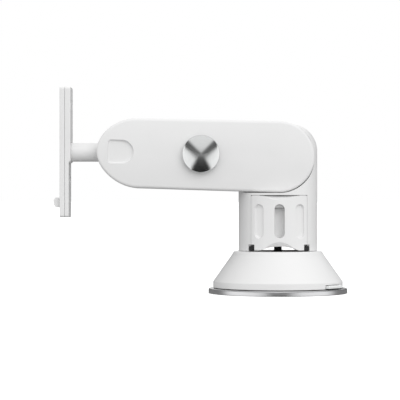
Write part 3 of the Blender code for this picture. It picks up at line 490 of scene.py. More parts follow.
def base():
    disc = filleted(
        [
            (0, DISC_TOP, 0),
            (DISC_R, DISC_TOP, 0.7),
            (DISC_R, 0, 0.35),
            (DISC_RECESS_R, 0, 0.2),
            (DISC_RECESS_R, DISC_RECESS_TOP, 0),
            (0, DISC_RECESS_TOP, 0),
        ]
    )
    piece("base_disc", turned(disc, steps=192))
    adhesive = [(0, ADHESIVE_TOP, 0), (ADHESIVE_R, ADHESIVE_TOP, 0.1), (ADHESIVE_R, 0, 0.1), (0, 0, 0)]
    piece("adhesive_pad", turned(filleted(adhesive), steps=128))
    skirt = filleted(
        [
            (DECK_HOLE_R, DECK_TOP, 0.25),
            (DECK_R, DECK_TOP, 1.2),
            (CONE_TOP_R, CONE_TOP, 1.4),
            (SKIRT_R, SKIRT_RIM_TOP, 0.6),
            (SKIRT_R, SKIRT_FOOT, 0.3),
            (SKIRT_R - 1.7, SKIRT_FOOT, 0.2),
            (SKIRT_R - 1.9, SKIRT_RIM_TOP, 0.6),
            (21.2, 17.8, 1.0),
            (20.4, DECK_UNDER, 0),
            (DECK_HOLE_R, DECK_UNDER, 0.25),
        ]
    )
    around = Matrix.Rotation(TAB_ANGLE, 4, "Z")
    outward = around @ Matrix.Rotation(-math.pi / 2, 4, "Z")
    r, lip = SKIRT_R, NOTCH_LIP
    notch_levels = [(0, r - 5), (0, r - lip), (-lip, r), (-lip, r + 2)]
    notch = loft(rounded(NOTCH_HALF_WIDTH, NOTCH_HALF_HEIGHT, 0.5), notch_levels, outward @ at(0, 0, NOTCH_Z))
    piece("skirt", cut(turned(skirt, steps=192), notch))
    pad = filleted(
        [
            (PAD_R, 4.6, 0.4),
            (PAD_R, SKIRT_FOOT, 0.3),
            (PAD_HOLE_R, SKIRT_FOOT, 0.3),
            (PAD_HOLE_R, 5.9, 0.4),
            (13, 5.9, 1.0),
            (PAD_R - 4, 5.0, 1.0),
        ]
    )
    tab_levels = [(0, PAD_R - 2), (0, TAB_R - 0.3), (0.3, TAB_R)]
    tab = loft(rounded(TAB_WIDTH / 2, TAB_HALF_HEIGHT, 0.35, steps=4), tab_levels, outward @ at(0, 0, TAB_Z))
    ribs = [box((x, -4.8, 4.3), (x + 0.4, 4.8, 4.65), around) for x in (TAB_R - 1.8, TAB_R - 1.0)]
    piece("suction_pad", join(turned(pad, steps=160), tab, *ribs))


# --- column -----------------------------------------------------------------------------------------


def head_profile(inset, foot, fillet=0.0):
    """Half of the column's outline, inset all round: a flat top, a large round shoulder, a straight wall."""
    centre_r, centre_z = COLUMN_R - SHOULDER_R, COLUMN_TOP - SHOULDER_R
    shoulder = arc(centre_r, centre_z, SHOULDER_R - inset, 90, 0, 24)
    r = COLUMN_R - inset
    foot_edge = arc(r - fillet, foot + fillet, fillet, 0, -90, 4) if fillet else [(r, foot)]
    return [(0, COLUMN_TOP - inset)] + shoulder + foot_edge + [(0, foot)]


def column_hollow():
    """The room inside the column, less the screw bosses and the pivot boss."""
    head = common(turned(head_profile(HEAD_WALL, 46)), box((-20, -HEAD_HALF, 40), (20, HEAD_HALF, 90)))
    head = cut(head, rod(PIVOT_BOSS_R, -10, 10, at(0, 0, PIVOT_Z) @ ALONG_Y))
    hollow = join(rod(COLUMN_R - COLUMN_WALL, 15, HOLLOW_TOP, steps=128), head)
    bosses = [box((-2.2, -11.2, 42.4), (2.2, -8, 50))]
    bosses += [rod(FOOT_BOSS_R, 10, 26, at(x, y, 0), 40) for x, y in FOOT_SCREWS]
    for side in (-1, 1):
        bosses.append(rod(SEAM_BOSS_R, -20, 20, at(side * SEAM_SCREW_X, 0, SEAM_SCREW_Z) @ ALONG_Y, 40))
    return cut(hollow, *bosses)


def cheek_pocket(side):
    """Room for one arm cheek beside the column's web, open on the side that the arm swings through.

    The swept part stays just clear of the round part's lowest point, so that the two share no edge there.
    """
    low, high = sorted((side * WEB_HALF, side * 25))
    r, reach = CHEEK_POCKET_R, 22
    tangent = math.pi / 2 - ARM_UP
    x, z = r * math.cos(tangent), r * math.sin(tangent)
    far_x, far_z = x - reach * math.sin(tangent), z + reach * math.cos(tangent)
    foot = 0.05 - r
    swing = [(-1.5, foot), (-30, foot), (-30, 30), (far_x, 30), (far_x, far_z), (x, z), (0, 0)]
    up = at(0, 0, PIVOT_Z)
    return join(prism(swing, low, high, up), rod(r, low, high, up @ ALONG_Y, 128))


def arch_radius(half_width):
    return (half_width**2 + ARCH_RISE**2) / (2 * ARCH_RISE)


def column_shell(side):
    """Half of the column: side -1 is the front, with the lever's window, and 1 is the rear."""
    shell = turned(head_profile(0, COLUMN_FOOT, 0.35), steps=160)
    cutters = [column_hollow(), cheek_pocket(-1), cheek_pocket(1)]
    cutters.append(rod(PIVOT_BORE_R, -30, 30, at(0, 0, PIVOT_Z) @ ALONG_Y))
    cutters += [rod(FOOT_BORE_R, 10, FOOT_BORE_TOP, at(x, y, 0), 24) for x, y in FOOT_SCREWS]
    for end in (-1, 1):
        seat = at(end * SEAM_SCREW_X, 0, SEAM_SCREW_Z) @ ALONG_Y
        cutters += [rod(SEAM_BORE_R, -6.4, 20, seat, 24), rod(SEAM_HEAD_R, SEAM_HEAD_Y, 20, seat, 40)]
    if side < 0:
        window, corner = LEVER_WINDOW, STOP_X + STOP_WIDTH / 2 + STOP_ROOM
        cutters += [
            box((-window, -25, 15), (window, -9.9, WINDOW_TOP)),
            box((-corner, -25, 15), (corner, -11.9, STOP_TOP + STOP_SWING)),
            box((-40, -SEAM_HALF, 0), (40, 40, 100)),
        ]
        hub = at(0, LEVER_AXIS_Y, LEVER_AXIS_Z) @ ALONG_X
        half = LEVER_LUG_HALF
        lug = box((-half, LEVER_AXIS_Y, 42.5), (half, -8.5, 44.8))
        front = join(cut(shell, *cutters), lug, rod(1.9, -half, half, hub, 40))
        return cut(front, rod(LEVER_BORE_R, -5, 5, hub, 32))
    r = arch_radius(REAR_ARCH_HALF_WIDTH)
    arch = rod(r, 10, 25, at(0, 0, COLUMN_FOOT + ARCH_RISE - r) @ ALONG_Y, 256)
    cutters += [arch, box((-40, -40, 0), (40, SEAM_HALF, 100))]
    return cut(shell, *cutters)


def cross_recess(size, depth, place):
    """Cutter of a cross-head recess that opens at the local Z = 0 and goes up."""
    half, cone_r = size * 0.22, size * 0.75
    one_bar = box((-size, -half, -1), (size, half, depth))
    other_bar = box((-half, -size, -1), (half, size, depth))
    cone = turned([(0, depth * 1.5), (cone_r, 0), (cone_r, -1), (0, -1)], steps=24)
    cross = join(one_bar, other_bar, cone)
    cross.transform(place)
    return cross


def screw(node, head_r, head_h, shank_r, length, place):
    """A domed cross-head screw: the head's underside is at the local Z = 0 and the shank runs up."""
    angles = [math.radians(i * 10) for i in range(10)]
    dome = [(head_r * math.cos(a), -head_h * (0.35 + 0.65 * math.sin(a))) for a in angles]
    pitch, core_r = 0.7, shank_r * 0.84
    thread = []
    for i in range(int((length - 0.6) / pitch)):
        top = length - 0.4 - i * pitch
        thread += [(core_r, top), (shank_r, top - pitch * 0.35), (shank_r, top - pitch * 0.5)]
    profile = [(0, length), (shank_r * 0.6, length)] + thread
    profile += [(core_r, 0.15), (core_r, 0), (head_r, 0)] + dome[:-1] + [(0, dome[-1][1])]
    mesh = turned(profile, steps=48)
    recess = cross_recess(head_r * 0.62, head_h * 0.5, at(0, 0, -head_h))
    piece(node, cut(mesh, recess), place)


def hexagon(across_r):
    return lambda inset: arc(0, 0, across_r - inset, 0, 300, 5)


def hex_prism(across_r, low, high, place):
    """A hexagonal nut or head with its corners turned off at both ends."""
    trim = 0.13 * across_r
    body = loft(hexagon(across_r), [(0, low), (0, high)])
    flat, past, drop = across_r - trim, across_r + 0.1, trim * 0.6
    cone = [(0, high), (flat, high), (past, high - drop), (past, low + drop), (flat, low), (0, low)]
    made = common(body, turned(cone, ALONG_Y, 64))
    made.transform(place)
    return made


def column():
    turntable = [(TURNTABLE_R, TURNTABLE_TOP, 0.3), (TURNTABLE_R, TURNTABLE_FOOT, 0)]
    turntable += [(TURNTABLE_HOLE_R, TURNTABLE_FOOT, 0), (TURNTABLE_HOLE_R, TURNTABLE_TOP, 0.2)]
    retainer = [(RETAINER_R, RETAINER_TOP, 0.3), (RETAINER_R, RETAINER_FOOT, 0.3)]
    retainer += [(RETAINER_HOLE_R, RETAINER_FOOT, 0.3), (RETAINER_HOLE_R, RETAINER_TOP, 0.3)]
    for node, corners in (("turntable", turntable), ("swivel_retainer", retainer)):
        bores = [rod(1.5, 10, 30, at(x, y, 0), 24) for x, y in FOOT_SCREWS]
        piece(node, cut(turned(filleted(corners), steps=128), *bores))
    piece("column_front_shell", column_shell(-1))
    piece("column_rear_shell", column_shell(1))
    for i, (x, y) in enumerate(FOOT_SCREWS):
        screw(f"base_screw_{i + 1}", 2.3, 1.4, 1.2, 8.8, at(x, y, 15.9))
    for name, side in (("column_screw_left", -1), ("column_screw_right", 1)):
        screw(name, 2.2, 1.3, 1.1, 12, at(side * SEAM_SCREW_X, 6.7, SEAM_SCREW_Z) @ FACING_FRONT)
    bush = filleted([(1.95, 23.2, 0.25), (1.95, 18.4, 0.15), (1.4, 18.4, 0), (1.4, 23.2, 0.1)])
    piece("rod_bush", turned(bush, steps=48))
    for name, side in (("lever_stop_left", -1), ("lever_stop_right", 1)):
        height = STOP_TOP - STOP_FOOT
        middle = at(side * STOP_X, 0, STOP_FOOT + height / 2)
        block = rounded(STOP_WIDTH / 2, height / 2, 0.3, steps=4)
        piece(name, loft(block, edge_levels(-13.9, -12.2, 0.2), middle))
    bush = filleted([(5.6, 7.7, 0.2), (5.6, -7.7, 0.2), (4.65, -7.7, 0.1), (4.65, 7.7, 0.1)])
    piece("pivot_bush", turned(bush, at(0, 0, PIVOT_Z) @ ALONG_Y, 64))
    for name, side in (("friction_washer_front", -1), ("friction_washer_rear", 1)):
        ring = filleted([(15, 0.25, 0.1), (15, -0.25, 0.1), (6.5, -0.25, 0.1), (6.5, 0.25, 0.1)])
        piece(name, turned(ring, at(0, side * 8.5, PIVOT_Z) @ ALONG_Y, 128))


# --- lever and stem ---------------------------------------------------------------------------------


def lever():
    up = at(0, -LEVER_AXIS_Y, -LEVER_AXIS_Z)
    low, high, half = LEVER_FOOT - LEVER_AXIS_Z, LEVER_TOP - LEVER_AXIS_Z, LEVER_HALF_WIDTH
    wall = arc(COLUMN_R - 0.5, LEVER_FOOT + 0.5, 0.5, 0, -90, 4)
    wall = [(0, LEVER_TOP), (COLUMN_R, LEVER_TOP)] + wall + [(0, LEVER_FOOT)]
    panel = common(turned(wall, up, 192), box((-half, -10, low - 1), (half, 5.8, high + 1)))
    above = cut(box((-20, -20, 0), (20, 20, 20)), rod(LEVER_BARREL_R, -20, 20, ALONG_X, 96))
    panel = cut(panel, rod(LEVER_INNER_R, 0, 46, up, 160), above)
    panel = join(panel, box((-3.4, -2.3, -18.5), (3.4, 3.4, -2.0)))
    for side in (-1, 1):
        hub_low, hub_high = sorted((side * 2.6, side * LOBE_OUTER))
        lobe_low, lobe_high = sorted((side * LOBE_INNER, side * LOBE_OUTER))
        panel = join(
            panel,
            rod(2.2, hub_low, hub_high, ALONG_X, 48),
            box((lobe_low, 0, -0.9), (lobe_high, LOBE_Y, 0.9)),
            rod(LOBE_R, lobe_low, lobe_high, at(0, LOBE_Y, 0) @ ALONG_X, 32),
        )
    corner, stop_top = STOP_X - STOP_WIDTH / 2 - STOP_ROOM, STOP_TOP + STOP_SWING - LEVER_AXIS_Z
    cutters = [
        rod(LEVER_BORE_R, -7.7, 7.7, ALONG_X, 32),
        rod(2.5, -2.6, 2.6, ALONG_X, 48),
        box((-2.6, -1.2, -2.05), (2.6, 10, 8)),
        box((-20, -9, -30), (-corner, 9, stop_top)),
        box((corner, -9, -30), (20, 9, stop_top)),
    ]
    slot = capsule(SLOT_WIDTH, SLOT_FOOT, SLOT_TOP)
    for turns, floor in ((-1, SIDE_SLOT_FLOOR), (0, MIDDLE_SLOT_FLOOR), (1, SIDE_SLOT_FLOOR)):
        levels = lipped_levels(-24, -COLUMN_R, SLOT_LIP, 0.4 - floor)[:-1]
        levels += [(0, -floor - 0.5), (0.5, -floor)]
        cutters.append(loft(slot, levels, up @ Matrix.Rotation(turns * SLOT_ANGLE, 4, "Z")))
    r, face = arch_radius(ARCH_HALF_WIDTH), COLUMN_R
    bevel = r + 2.1
    finger = [(0, 30), (bevel, 30), (bevel, face), (r + 0.35, face - 1.2), (r, face - 1.7), (r, 5), (0, 5)]
    centre = up @ at(0, 0, COLUMN_FOOT + ARCH_RISE - r) @ FACING_FRONT
    cutters.append(turned(finger, centre, 256))
    piece("lever", cut(panel, *cutters), LEVER)
    pin = filleted([(0, 7.4, 0), (0.8, 7.4, 0.2), (0.8, -7.4, 0.2), (0, -7.4, 0)])
    piece("lever_pin", turned(pin, ALONG_X, 32), LEVER)


def stem():
    pitch, crest, root = THREAD_PITCH, ROD_R, ROD_R - THREAD_DEPTH
    thread = []
    for i in range(THREAD_TURNS):
        top = ROD_TOP - 0.5 - i * pitch
        thread += [(root, top), (crest, top - pitch * 0.35), (crest, top - pitch * 0.55)]
    profile = [(0, ROD_TOP), (root, ROD_TOP)] + thread + [(crest, ROD_FOOT + 0.3), (crest - 0.3, ROD_FOOT)]
    piece("pull_rod", turned(profile + [(0, ROD_FOOT)], steps=40))
    boss = filleted(
        [(0, 10.6, 0), (3.1, 10.6, 0.4), (3.1, 8.6, 0.4), (9.7, 8.6, 0.5), (9.7, 6.3, 0.4), (0, 6.3, 0)]
    )
    piece("pad_boss", cut(turned(boss), rod(ROD_BORE_R, 8.0, 12, steps=32)))
    nut = hex_prism(NUT_R, YOKE_TOP + 0.3, NUT_TOP, HERE)
    nut.transform(FACING_FRONT)
    piece("rod_nut", cut(nut, rod(ROD_BORE_R, 30, 50, steps=32)))
    low, high = RETURN_SPRING_LOW, RETURN_SPRING_HIGH
    ends = ("column", "stem", (0, 0, high - 0.2), (0, 0, low + 0.2))
    coil("return_spring", RETURN_SPRING_R, RETURN_SPRING_WIRE_R, low, high, 4, HERE, HERE, ends)


def coil(node, radius, wire_r, start, end, turns, place, on, stretched=None, per_turn=32):
    """A compression spring: its end turns lie closer than the ones between."""
    curve = bpy.data.curves.new(node, "CURVE")
    curve.dimensions, curve.bevel_depth = "3D", wire_r
    curve.bevel_resolution, curve.use_fill_caps = 3, True
    spline = curve.splines.new("POLY")
    count = turns * per_turn
    spline.points.add(count)
    for i, point in enumerate(spline.points):
        share = i / count
        eased = share - 0.35 * math.sin(2 * math.pi * share) / (2 * math.pi)
        angle = 2 * math.pi * turns * share
        point.co = (radius * math.cos(angle), radius * math.sin(angle), start + (end - start) * eased, 1)
    drawn = bpy.data.objects.new(node, curve)
    bpy.context.scene.collection.objects.link(drawn)
    graph = bpy.context.evaluated_depsgraph_get()
    shape = bmesh.new()
    wire = bpy.data.meshes.new_from_object(drawn.evaluated_get(graph))
    shape.from_mesh(wire)
    bpy.data.meshes.remove(wire)
    bpy.data.objects.remove(drawn, do_unlink=True)
    bpy.data.curves.remove(curve)
    bmesh.ops.remove_doubles(shape, verts=shape.verts, dist=MERGE)
    piece(node, as_mesh(shape, place), on, stretched=stretched)


# --- arm --------------------------------------------------------------------------------------------


def arm_outline(inset):
    """The arm seen from the side: a round end on the pivot, a slight taper and a blunt, rounded nose."""
    end = arc(0, 0, ARM_END_R - inset, -90, 90, 48)
    length, half = ARM_NOSE_LENGTH - inset, ARM_NOSE_R - inset
    nose = []
    for x, z in arc(0, 0, 1, 90, 270, 48):
        power = 2 / (NOSE_POWER_ABOVE if z > 0 else NOSE_POWER_BELOW)
        nose.append((ARM_NOSE_X - length * abs(x) ** power, math.copysign(half * abs(z) ** power, z)))
    shares = [i / 12 for i in range(1, 12)]
    above = [(ARM_NOSE_X * t, end[-1][1] + (half - end[-1][1]) * t) for t in shares]
    below = [(x, -z) for x, z in reversed(above)]
    return end + above + nose + below


def crowned_levels(side):
    """Levels from the seam to the crowned outer face, with a round edge between wall and face."""

    def crown(inset):
        return ARM_CROWN * (1 - inset / ARM_CROWN_REACH) ** 2

    edge = crown(ARM_EDGE_R)
    turn = [math.radians(90 - 90 * k / 7) for k in range(8)]
    rim = [(ARM_EDGE_R * (1 - math.sin(a)), edge + ARM_EDGE_R * (1 - math.cos(a))) for a in turn]
    face = [(inset, crown(inset)) for inset in (2.4, 3.6, 5, 6.5, 8, 10, 12, 14, ARM_CROWN_REACH)]
    seam = [(0.15, ARM_SEAM), (0, ARM_SEAM + 0.15)]
    outer = [(inset, ARM_HALF - depth) for inset, depth in rim + face]
    return [(inset, side * y) for inset, y in seam + outer]


def arm_room(side):
    """The hollow inside the arm's shell, less the bosses."""
    depths = (-0.5, 12.8) if side > 0 else (-12.8, 0.5)
    room = loft(arm_outline, [(ARM_WALL, y) for y in depths])
    room = common(room, box((-66, -20, -20), (-23.1, 20, 20)))
    knob = at(KNOB_X, 0, KNOB_Z) @ ALONG_Y
    bosses = [rod(6, -14, 14, knob)]
    bosses += [rod(DOWEL_BOSS_R, -14, 14, at(DOWEL_X, 0, end * DOWEL_Z) @ ALONG_Y, 40) for end in (-1, 1)]
    return cut(room, *bosses)


def arm_shell(side):
    """Half of the arm: side -1 is the front, with the knob's recess, and 1 is the rear."""
    knob = at(KNOB_X, 0, KNOB_Z) @ ALONG_Y
    socket = at(BALL_X, 0, BALL_Z) @ ALONG_Y
    web = cut(
        box((WEB_ROOM_X, -CHEEK_FACE, -20), (20, CHEEK_FACE, 20)),
        rod(4.4, -CHEEK_FACE - 1, CHEEK_FACE + 1, ALONG_Y),
    )
    fork, wall = FORK_HALF, FORK_WALL
    cutters = [
        arm_room(side),
        web,
        box((-79, -fork, -wall), (FORK_ROOT, fork, wall)),
        box((-95, -fork, -20), (-78.5, fork, 20)),
        rod(SOCKET_R, -SOCKET_HALF, SOCKET_HALF, socket, 96),
        rod(KNOB_BORE_R, -20, 20, knob, 40),
        rod(4.2, -4.4, 4.4, knob, 48),
        scoop(side),
    ]
    for end in (-1, 1):
        dowel = at(DOWEL_X, 0, end * DOWEL_Z) @ ALONG_Y
        cutters.append(rod(DOWEL_BORE_R, -DOWEL_BORE_HALF, DOWEL_BORE_HALF, dowel, 32))
    if side < 0:
        r, floor = KNOB_RECESS_R, KNOB_RECESS_FLOOR
        recess = filleted([(0, 25, 0), (r, 25, 0), (r, floor, 0.3), (0, floor, 0)])
        cutters.append(turned(recess, at(KNOB_X, 0, KNOB_Z) @ FACING_FRONT, 128))
        cutters.append(rod(1.8, -7.6, 5, ALONG_Y, 40))
    else:
        head = loft(hexagon(4.8), [(0, 10.9), (0, 20)], at(KNOB_X, 0, KNOB_Z))
        lip_r, seat_r = 4.3, 3.9
        screw_room = [(0, 25, 0), (lip_r, 25, 0), (lip_r, 15.2, 0)]
        screw_room += [(seat_r, 14.5, 0.3), (seat_r, 12, 0.2), (0, 12, 0)]
        cutters += [head, rod(1.8, -5, 20, ALONG_Y, 40), turned(filleted(screw_room), ALONG_Y, 64)]
    return cut(loft(arm_outline, crowned_levels(side)), *cutters)


def scoop(side):
    """Cutter for a shallow thumb scoop: round towards the knob, nearly straight towards the nose."""
    corner = SCOOP_CORNER_R
    right, left = SCOOP_RIGHT - SCOOP_HALF, SCOOP_LEFT + corner

    def outline(inset):
        r, tight, high = SCOOP_HALF - inset, corner - inset, SCOOP_HALF - corner
        return (
            arc(right, BALL_Z, r, -90, 90, 24)
            + arc(left, BALL_Z + high, tight, 90, 180, 8)
            + arc(left, BALL_Z - high, tight, 180, 270, 8)
        )

    floor, fillet = ARM_HALF - SCOOP_DEPTH, SCOOP_FILLET
    levels = [(0, side * 25)]
    for k in range(7):
        a = math.radians(90 * k / 6)
        levels.append((fillet * (1 - math.cos(a)), side * (floor + fillet * (1 - math.sin(a)))))
    return loft(outline, levels)


def arm():
    piece("arm_front_shell", arm_shell(-1), ARM)
    piece("arm_rear_shell", arm_shell(1), ARM)
    screw("pivot_screw", 3.5, 1.6, 1.6, 20, ARM @ at(0, 13.1, 0) @ FACING_FRONT)
    washer = filleted([(3.6, 0.25, 0.12), (3.6, -0.25, 0.12), (1.85, -0.25, 0.1), (1.85, 0.25, 0.1)])
    piece("pivot_washer", turned(washer, at(0, 12.55, 0) @ ALONG_Y, 64), ARM)
    knob = at(KNOB_X, 0, KNOB_Z)
    bolt_head = hex_prism(4.3, 11.2, 13.9, knob)
    shaft = filleted([(0, 18.6, 0), (2.0, 18.6, 0.3), (2.0, -12, 0), (0, -12, 0)])
    piece("clamp_bolt", join(bolt_head, turned(shaft, knob @ FACING_FRONT, 48)), ARM)
    washer = filleted([(7, 0.3, 0.15), (7, -0.3, 0.15), (2.35, -0.3, 0.1), (2.35, 0.3, 0.1)])
    piece("clamp_washer", turned(washer, at(KNOB_X, -14.4, KNOB_Z) @ ALONG_Y, 96), ARM)
    coil("clamp_spring", 3.2, 0.35, -3.7, 3.7, 4, knob @ ALONG_Y, ARM)
    for name, end in (("arm_dowel_lower", -1), ("arm_dowel_upper", 1)):
        r, half = DOWEL_R, DOWEL_HALF
        dowel = filleted([(0, half, 0), (r, half, 0.2), (r, -half, 0.2), (0, -half, 0)])
        piece(name, turned(dowel, at(DOWEL_X, 0, end * DOWEL_Z) @ ALONG_Y, 32), ARM)


def knob():
    """The clamp knob: a shallow spun dome inside a bright rim, its height measured from the arm's middle."""
    dome_r, crown, shoulder = 8.3, 21.0, 19.5
    rise = crown - shoulder
    sphere = (dome_r**2 + rise**2) / (2 * rise)
    radii = [dome_r * i / 20 for i in range(21)]
    dome = [(r, crown - sphere + math.sqrt(sphere**2 - r**2)) for r in radii]
    side = [(8.6, 19.38, 0), (9.0, 19.1, 0.3), (KNOB_R, 18.2, 0.4), (KNOB_R, 15, 0.5), (4.0, 15, 0.2)]
    side += [(4.0, 19.2, 0.2), (0, 19.2, 0)]
    rim = filleted([(dome[-2][0], dome[-2][1], 0), (dome_r, shoulder, 0), *side])[2:]
    cap = turned(dome + rim, FACING_FRONT, 160)
    place = ARM @ at(KNOB_X, 0, KNOB_Z)
    piece("clamp_knob", cap, place)
    insert = filleted([(3.7, 18.9, 0.2), (3.7, 15.1, 0.2), (2.25, 15.1, 0.2), (2.25, 18.9, 0.2)])
    piece("knob_insert", turned(insert, FACING_FRONT, 64), place)


# --- ball joint and holder --------------------------------------------------------------------------


def ball_joint():
    outer, inner, rim = 10.4, BALL_R + 0.25, 6.1
    shell = arc(0, 0, outer, 90, math.degrees(math.asin(rim / outer)), 16)
    cup = arc(0, 0, inner, math.degrees(math.asin(rim / inner)), 90, 16)
    for name, facing in (("socket_pad_front", FACING_FRONT), ("socket_pad_rear", ALONG_Y)):
        piece(name, turned(shell + cup, facing, 96), BALL)
    neck = math.degrees(math.asin(STEM_R / BALL_R))
    profile = arc(0, 0, BALL_R, -90, 90 - neck, 40)[:-1]
    near, far = -FLANGE_ROOM_X + 0.3, -FRONT_PLATE_X - 0.06
    tail = [(STEM_R, BALL_R * math.cos(math.radians(neck)), 0.8), (STEM_R, 22.6, 0), (STEM_R, near, 0.3)]
    tail += [(FLANGE_R, near, 0.2), (FLANGE_R, far, 0.2), (0, far, 0)]
    last = profile[-1]
    shaft = filleted([(last[0], last[1], 0), *tail, (0, 0, 0)])[1:-1]
    away = Matrix.Rotation(-math.pi / 2, 4, "Y")
    piece("ball_stud", turned(profile + shaft, away, 96), BALL)


def plate(x, thickness, foot=-PLATE_HALF_HEIGHT):
    """A plate standing across X, from x towards -X, down to its foot, with round corners and edges."""
    middle, half = (PLATE_HALF_HEIGHT + foot) / 2, (PLATE_HALF_HEIGHT - foot) / 2
    across = at(x, 0, middle) @ Matrix.Rotation(math.pi / 2, 4, "Z")
    outline = rounded(PLATE_HALF_WIDTH, half, PLATE_CORNER_R)
    return loft(outline, edge_levels(0, thickness, PLATE_EDGE_R), across)


def holder():
    half, top, foot, gap = CATCH_HALF_WIDTH, CATCH_TOP, CATCH_FOOT, CATCH_ROOM
    room = half + gap
    back = [rod(STEM_R + 0.3, -30, -20, ALONG_X, 96), rod(FLANGE_R + 0.3, -30, FLANGE_ROOM_X, ALONG_X, 96)]
    front = [box((-31, -room, foot - gap), (-26, room, top + gap))]
    for i, (y, z) in enumerate(PLATE_SCREWS):
        spot = at(0, y, z) @ ALONG_X
        back += [rod(1.2, -30, -20, spot, 24), rod(2.3, SCREW_SEAT_X - 0.2, -20, spot, 48)]
        front.append(rod(1.2, -28.1, -20, spot, 24))
        screw(f"plate_screw_{i + 1}", 2.0, 1.0, 1.0, 3.0, BALL @ at(SCREW_SEAT_X, y, z) @ FACING_BACK)
    back.append(box((-27, -room, foot - gap), (CATCH_FLOOR_X, room, top + gap)))
    slab = join(plate(BACK_PLATE_X, BACK_THICKNESS), plate(PAD_FACE_X, 2, PAD_FOOT))
    piece("holder_back_plate", cut(slab, *back), BALL)
    piece("holder_front_plate", cut(plate(FRONT_PLATE_X, FRONT_PLATE_X - FRONT_FACE_X), *front), BALL)
    nose, rear = CATCH_NOSE_X, CATCH_REAR_X
    side_view = filleted(
        [(rear, top, 0.2), (nose + 0.9, top, 0.5), (nose, top - 1.3, 0.5), (nose, foot + 1.4, 0.7)]
        + [(nose + 1.1, foot, 0.7), (rear, foot, 0.2)]
    )
    middle = at(0, 0, (top + foot) / 2) @ ALONG_X
    piece("catch", cut(prism(side_view, -half, half), rod(1.5, -30.3, -20, middle, 40)), BALL)
    far, near = CATCH_SPRING_FAR, CATCH_SPRING_NEAR
    ends = ("holder", "catch", BALL @ Vector((near - 0.2, 0, 0)), BALL @ Vector((far + 0.2, 0, 0)))
    coil("catch_spring", CATCH_SPRING_R, CATCH_SPRING_WIRE_R, far, near, 4, middle, BALL, ends)


# --- studio -----------------------------------------------------------------------------------------


def step(tree, value, low, high, start=0.0, end=1.0):
    """A smooth ramp of a value between two limits."""
    node = tree.nodes.new("ShaderNodeMapRange")
    node.interpolation_type = "SMOOTHSTEP"
    for name, number in (("From Min", low), ("From Max", high), ("To Min", start), ("To Max", end)):
        node.inputs[name].default_value = number
    tree.links.new(value, node.inputs["Value"])
    return node.outputs["Result"]


def sum_up(tree, operation, *values):
    total = values[0]
    for value in values[1:]:
        node = tree.nodes.new("ShaderNodeMath")
        node.operation = operation
        for socket, given in zip(node.inputs, (total, value)):
            if isinstance(given, (int, float)):
                socket.default_value = given
            else:
                tree.links.new(given, socket)
        total = node.outputs["Value"]
    return total


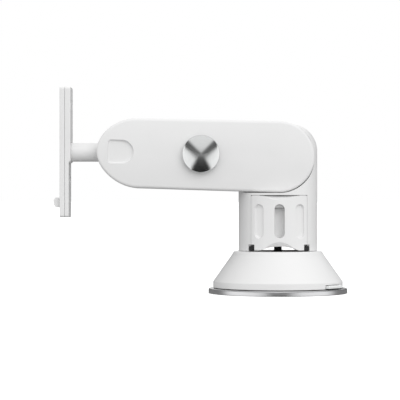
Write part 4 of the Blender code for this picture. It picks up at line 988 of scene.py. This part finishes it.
def surround():
    """A studio round the table: a white room, a dim floor side, and soft boxes that only gloss picks up."""
    world = bpy.data.worlds.new("surround")
    bpy.context.scene.world = world
    world.use_nodes = True
    tree = world.node_tree
    direction = tree.nodes.new("ShaderNodeSeparateXYZ")
    tree.links.new(tree.nodes.new("ShaderNodeTexCoord").outputs["Generated"], direction.inputs["Vector"])
    z = direction.outputs["Z"]
    across = sum_up(tree, "ABSOLUTE", direction.outputs["X"], 0)
    soft_light = step(tree, z, -0.6, 0.6, GLOW_BELOW, GLOW_ABOVE)
    # Dark strips lean outwards between the top box and the side boxes, and nothing bright stands behind.
    inward = sum_up(tree, "SUBTRACT", z, across)
    outward = sum_up(tree, "SUBTRACT", across, z)
    off_floor = sum_up(tree, "ADD", across, sum_up(tree, "MULTIPLY", z, 0.5))
    in_front = step(tree, direction.outputs["Y"], -0.1, 0.4, 1, 0.15)
    top_box = sum_up(tree, "MULTIPLY", step(tree, inward, -0.05, 0.15), TOP_BOX)
    beside = step(tree, outward, 0.3, 0.45)
    clear = step(tree, off_floor, 0.02, 0.2)
    side_box = sum_up(tree, "MULTIPLY", beside, clear, in_front, SIDE_BOX)
    boxes = sum_up(tree, "ADD", top_box, side_box, step(tree, z, -0.6, 0.2, 0.02, 0.12))
    path = tree.nodes.new("ShaderNodeLightPath")
    colour = soft_light
    for ray, seen in (("Is Glossy Ray", boxes), ("Is Camera Ray", 1.0)):
        mix = tree.nodes.new("ShaderNodeMix")
        mix.data_type = "FLOAT"
        tree.links.new(path.outputs[ray], mix.inputs[0])
        tree.links.new(colour, mix.inputs[2])
        if seen == 1.0:
            mix.inputs[3].default_value = seen
        else:
            tree.links.new(seen, mix.inputs[3])
        colour = mix.outputs[0]
    tree.links.new(colour, tree.nodes["Background"].inputs["Color"])


def studio():
    """A white table, its surround, and one broad key light above and in front."""
    shape = bmesh.new()
    bmesh.ops.create_grid(shape, x_segments=2, y_segments=2, size=TABLE_SIZE)
    table = bpy.data.objects.new("table", as_mesh(shape, at(0, 0, -TABLE_SINK)))
    bpy.context.scene.collection.objects.link(table)
    paper, shader, place = blank("white_paper", (0.95, 0.95, 0.95), 0.9)
    shader.inputs["Specular IOR Level"].default_value = 0.0
    shader.inputs["Emission Color"].default_value = (1, 1, 1, 1)
    shader.inputs["Emission Strength"].default_value = PAPER_GLOW
    raised(paper, shader, noise(paper, place, 900), 1e-5, 0.2)
    table.data.materials.append(paper)
    table.visible_diffuse = table.visible_glossy = False
    surround()
    light = bpy.data.lights.new("key", "SUN")
    light.energy, light.angle = KEY_POWER, math.radians(KEY_SPREAD)
    key = bpy.data.objects.new("key", light)
    bpy.context.scene.collection.objects.link(key)
    key.visible_glossy = False
    key.rotation_euler = Vector(KEY_FROM).to_track_quat("Z", "Y").to_euler()


def camera():
    made = bpy.data.cameras.new("camera")
    made.sensor_width, made.lens = SENSOR_WIDTH, LENS
    made.clip_start, made.clip_end = 0.05, 50
    obj = bpy.data.objects.new("camera", made)
    bpy.context.scene.collection.objects.link(obj)
    obj.location = CAMERA_AT
    obj.rotation_euler = (math.pi / 2, 0, 0)
    bpy.context.scene.camera = obj
    bpy.context.scene.view_settings.view_transform = "Standard"


def main():
    base()
    column()
    lever()
    stem()
    arm()
    knob()
    ball_joint()
    holder()
    for name, node in frame["nodes"].items():
        if not node.hide_render:
            node.data.materials.clear()
            node.data.materials.append(LOOKS[SLOT_OF[name]])
    studio()
    camera()


main()
